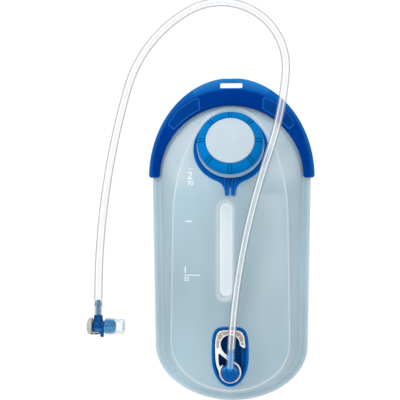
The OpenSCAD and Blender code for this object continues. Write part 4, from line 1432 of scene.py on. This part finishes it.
core = [(2, 7.4), (7.3, 7.4), (7.9, 8.2), (7.9, 15.2), (7.3, 16.6), (5.9, 18.3), (4.4, 19.2), (2, 19.3)]
bite_core = revolve("bite_core_body", rounded(core, 0.6, True, 3), on_bite, "core", 72, True)
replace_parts(bite_core, "bite_core")
sheath = [(7.95, 8.0), (8.4, 7.8), (8.8, 8.4), (8.9, 12.0), (8.9, 15.6), (8.5, 18.2), (7.8, 20.6),
          (7.4, 22.4), (7.5, 23.8), (8.0, 25.0), (8.3, 26.2), (8.3, 27.4), (7.8, 28.4), (6.4, 28.9),
          (1.2, 28.95), (1.2, 27.6), (5.0, 27.2), (5.6, 24.0), (5.5, 20.6), (6.6, 18.6), (7.6, 17.0),
          (7.95, 15.6)]


def lips(r, z, turn):
    """The soft end narrows a little into two lips."""
    if z > 22.5:
        squeeze = 0.05 * (z - 22.5) / 6.5 * math.cos(2 * turn)
        return r * (1 - squeeze), z
    return r, z


bite_sheath = revolve("bite_sheath_skin", rounded(sheath, 0.6, True, 2), on_bite, "sheath", 72, True, lips)
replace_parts(bite_sheath, "bite_sheath")

cup = [(0, -11.7), (5.8, -11.7), (7.2, -11.2), (8.5, -10.0), (9.2, -8.4), (9.3, -7.0), (9.0, -6.4),
       (8.5, -6.4), (8.3, -7.2), (7.8, -8.8), (6.6, -9.8), (0, -10.0)]


def knob_teeth(r, z, turn):
    """Shallow finger flutes round the knob's edge."""
    if r > 8.6 and z < -6:
        return r - 0.16 * (0.5 + 0.5 * math.cos(24 * turn)), z
    return r, z


knob = revolve("shutoff_cup", rounded(cup, 0.5, False, 3), on_bite, "knob", 144, False,
               knob_teeth)
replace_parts(knob, "shutoff_knob")
tongue_rows = []
for k in range(25):
    a = math.radians(-48 + 84 * k / 24)
    line = rounded([(8.25, -7.4), (9.2, -7.4), (9.2, 1.6), (8.25, 1.6)], 0.25, True, 2)
    tongue_rows.append([(r * math.cos(a), r * math.sin(a), z) for r, z in line])
loft("shutoff_tongue", tongue_rows, "knob", on_bite)


for k, (x0, x1) in enumerate(((-6.9, -4.6), (-3.0, 0.6))):
    slot_rows = []
    for turn_deg in (22, 27, 32, 37, 42):
        a = math.radians(turn_deg)
        slot_rows.append([(r * math.cos(a), -r * math.sin(a), z) for r, z in
                          ((8.6, x0), (9.28, x0), (9.28, x1), (8.6, x1))])
    loft(f"shutoff_slot_{k}", slot_rows, "slot", on_bite)


def core_lit(point):
    """The lower half of the core catches the light, with a bright line where the halves meet."""
    z = point[2] - MOUTH_AT[2]
    return 0.34 if z < -1.6 else 0.62 * max(0.0, 1 - abs(z + 0.6) / 1.0)


paint(bite_core, "lit", core_lit)


def elbow_lit(point):
    """A soft highlight low on the ball."""
    off = np.array(point) - MOUTH_AT
    return 0.6 * math.exp(-((off[2] + 3.4) / 1.7) ** 2) * math.exp(-((off[0] - 0.5) / 4.5) ** 2)


def elbow_shade(point):
    """The collar's left flank is in shade."""
    off = np.array(point) - MOUTH_AT
    return min(0.7, max(0.0, (-1.0 - off[0]) / 4.0)) if off[2] > 6.5 else 0.0


for part in (elbow, drop_collar):
    paint(part, "lit", elbow_lit)
    paint(part, "shade", elbow_shade)


# ---------- graduation marks ----------

def on_film(points):
    """Points laid on the outside of the front film."""
    out = []
    for x, z, lift in points:
        start = Vector((x * MM, -0.2, (z + BASE_Z) * MM))
        hit, place, _, _ = front_film.ray_cast(start, Vector((0, 1, 0)))
        y = place.y / MM if hit else FACE_Y
        out.append((x, y - 0.12 - lift, z + BASE_Z))
    return np.array(out)


def mark(name, text, size, x, z):
    """White printed figures on the front face: numbers only."""
    curve = bpy.data.curves.new(name, "FONT")
    curve.body = text
    curve.size = size
    curve.extrude = 0.05
    curve.offset = 0.12
    verts, faces = filled(name, curve)
    finish_mesh(name, on_film(verts + np.array([x, z, 0])), faces, "print", smooth=False)


def tick(name, x0, x1, z, height):
    """A printed line."""
    count = 12
    verts = []
    for lift in (0.05, -0.05):
        for row in (0, height):
            verts += [(x0 + (x1 - x0) * k / count, z + row, lift) for k in range(count + 1)]
    w = count + 1
    faces = []
    for k in range(count):
        faces.append((k, k + 1, w + k + 1, w + k))
        faces.append((2 * w + k, 3 * w + k, 3 * w + k + 1, 2 * w + k + 1))
        faces.append((k, 2 * w + k, 2 * w + k + 1, k + 1))
        faces.append((w + k, w + k + 1, 3 * w + k + 1, 3 * w + k))
    faces.append((0, w, 3 * w, 2 * w))
    faces.append((count, 2 * w + count, 3 * w + count, w + count))
    finish_mesh(name, on_film(verts), faces, "print", smooth=False)


mark("mark_full", "2", 12.4, -49.0, 256.6)
mark("mark_full_small", "70", 6.9, -48.6, 249.6)
mark("mark_half", "1", 10.2, -53.0, 151.3)
mark("mark_half_small", "32", 6.2, -52.2, 142.2)
tick("tick_full", -48.0, -41.8, 267.7, 1.0)
tick("tick_three_quarters", -50.0, -43.5, 208.4, 1.4)
tick("tick_half", -52.2, -33.6, 148.2, 0.9)


# ---------- finishes of the CAD nodes that stay ----------

kept = {
    "hanger_pins": "arch", "cap_gasket": "seal", "port_retainer": "acetal", "port_seal": "seal",
    "poppet": "acetal", "poppet_spring": "steel", "plug_o_rings": "rubber", "valve_barrel": "acetal",
    "barrel_o_rings": "rubber",
}
for node, finish in kept.items():
    mesh = frame["nodes"][node].data
    mesh.materials.clear()
    mesh.materials.append(M[finish])


# ---------- floor, light and camera ----------

def stage_floor():
    """A broad pale floor well below the hose's lowest reach."""
    n = Nodes("floor_pale")
    tone = n.mix(n.noise(3.0), linear((250, 250, 250)), linear((255, 255, 255)))
    finish = {"Base Color": tone, "Roughness": 0.9, "Specular IOR Level": 0.1}
    shader = n.add("ShaderNodeBsdfPrincipled", finish)
    mesh = bpy.data.meshes.new("floor")
    half, z = 1.15, cad_box[0].z - 0.42
    corners = [(-half, -half, z), (half, -half, z), (half, half, z), (-half, half, z)]
    mesh.from_pydata(corners, [], [(0, 1, 2, 3)])
    mesh.materials.append(n.finish(shader.outputs[0]))
    floor = bpy.data.objects.new("floor", mesh)
    link(floor)


def area_light(name, place, target, size, power):
    light = bpy.data.lights.new(name, "AREA")
    light.size = size
    light.energy = power
    holder = bpy.data.objects.new(name, light)
    holder.location = place
    holder.rotation_euler = (Vector(target) - Vector(place)).to_track_quat("-Z", "Y").to_euler()
    link(holder)


def set_world():
    """White all round for the eye, and a soft light that is stronger from above for the object."""
    n = Nodes("studio", world=True)
    up = n.add("ShaderNodeSeparateXYZ", {0: n.add("ShaderNodeTexCoord").outputs["Generated"]}).outputs["Z"]
    lit = n.add("ShaderNodeBackground", {"Color": WHITE, "Strength": n.ramp(up, -0.6, 0.8, 0.45, 0.95)})
    seen = n.add("ShaderNodeBackground", {"Color": WHITE, "Strength": 1.02})
    eye = n.add("ShaderNodeLightPath").outputs["Is Camera Ray"]
    mix = n.add("ShaderNodeMixShader", {0: eye, 1: lit.outputs[0], 2: seen.outputs[0]})
    bpy.context.scene.world = n.finish(mix.outputs[0])


stage_floor()
set_world()
area_light("key_soft", (-0.9, -1.3, 1.1), (0, 0, -0.1), 1.1, 15.0)
area_light("front_fill", (0.8, -1.8, 0.0), (0, 0, -0.15), 1.6, 7.0)
area_light("back_soft", (0.3, 1.6, 0.7), (0, 0, -0.1), 1.6, 8.0)

CAMERA_Z = -0.1332
camera_data = bpy.data.cameras.new("camera")
camera_data.lens = 76.95
camera_data.sensor_width = 36.0
camera = bpy.data.objects.new("camera", camera_data)
camera.location = (0.033, -1.0, CAMERA_Z)
aim = Vector((-0.0368, 0.0, CAMERA_Z))
camera.rotation_euler = (aim - camera.location).to_track_quat("-Z", "Y").to_euler()
link(camera)
bpy.context.scene.camera = camera
bpy.context.scene.view_settings.view_transform = "Standard"
bpy.context.scene.cycles.transparent_max_bounces = 24
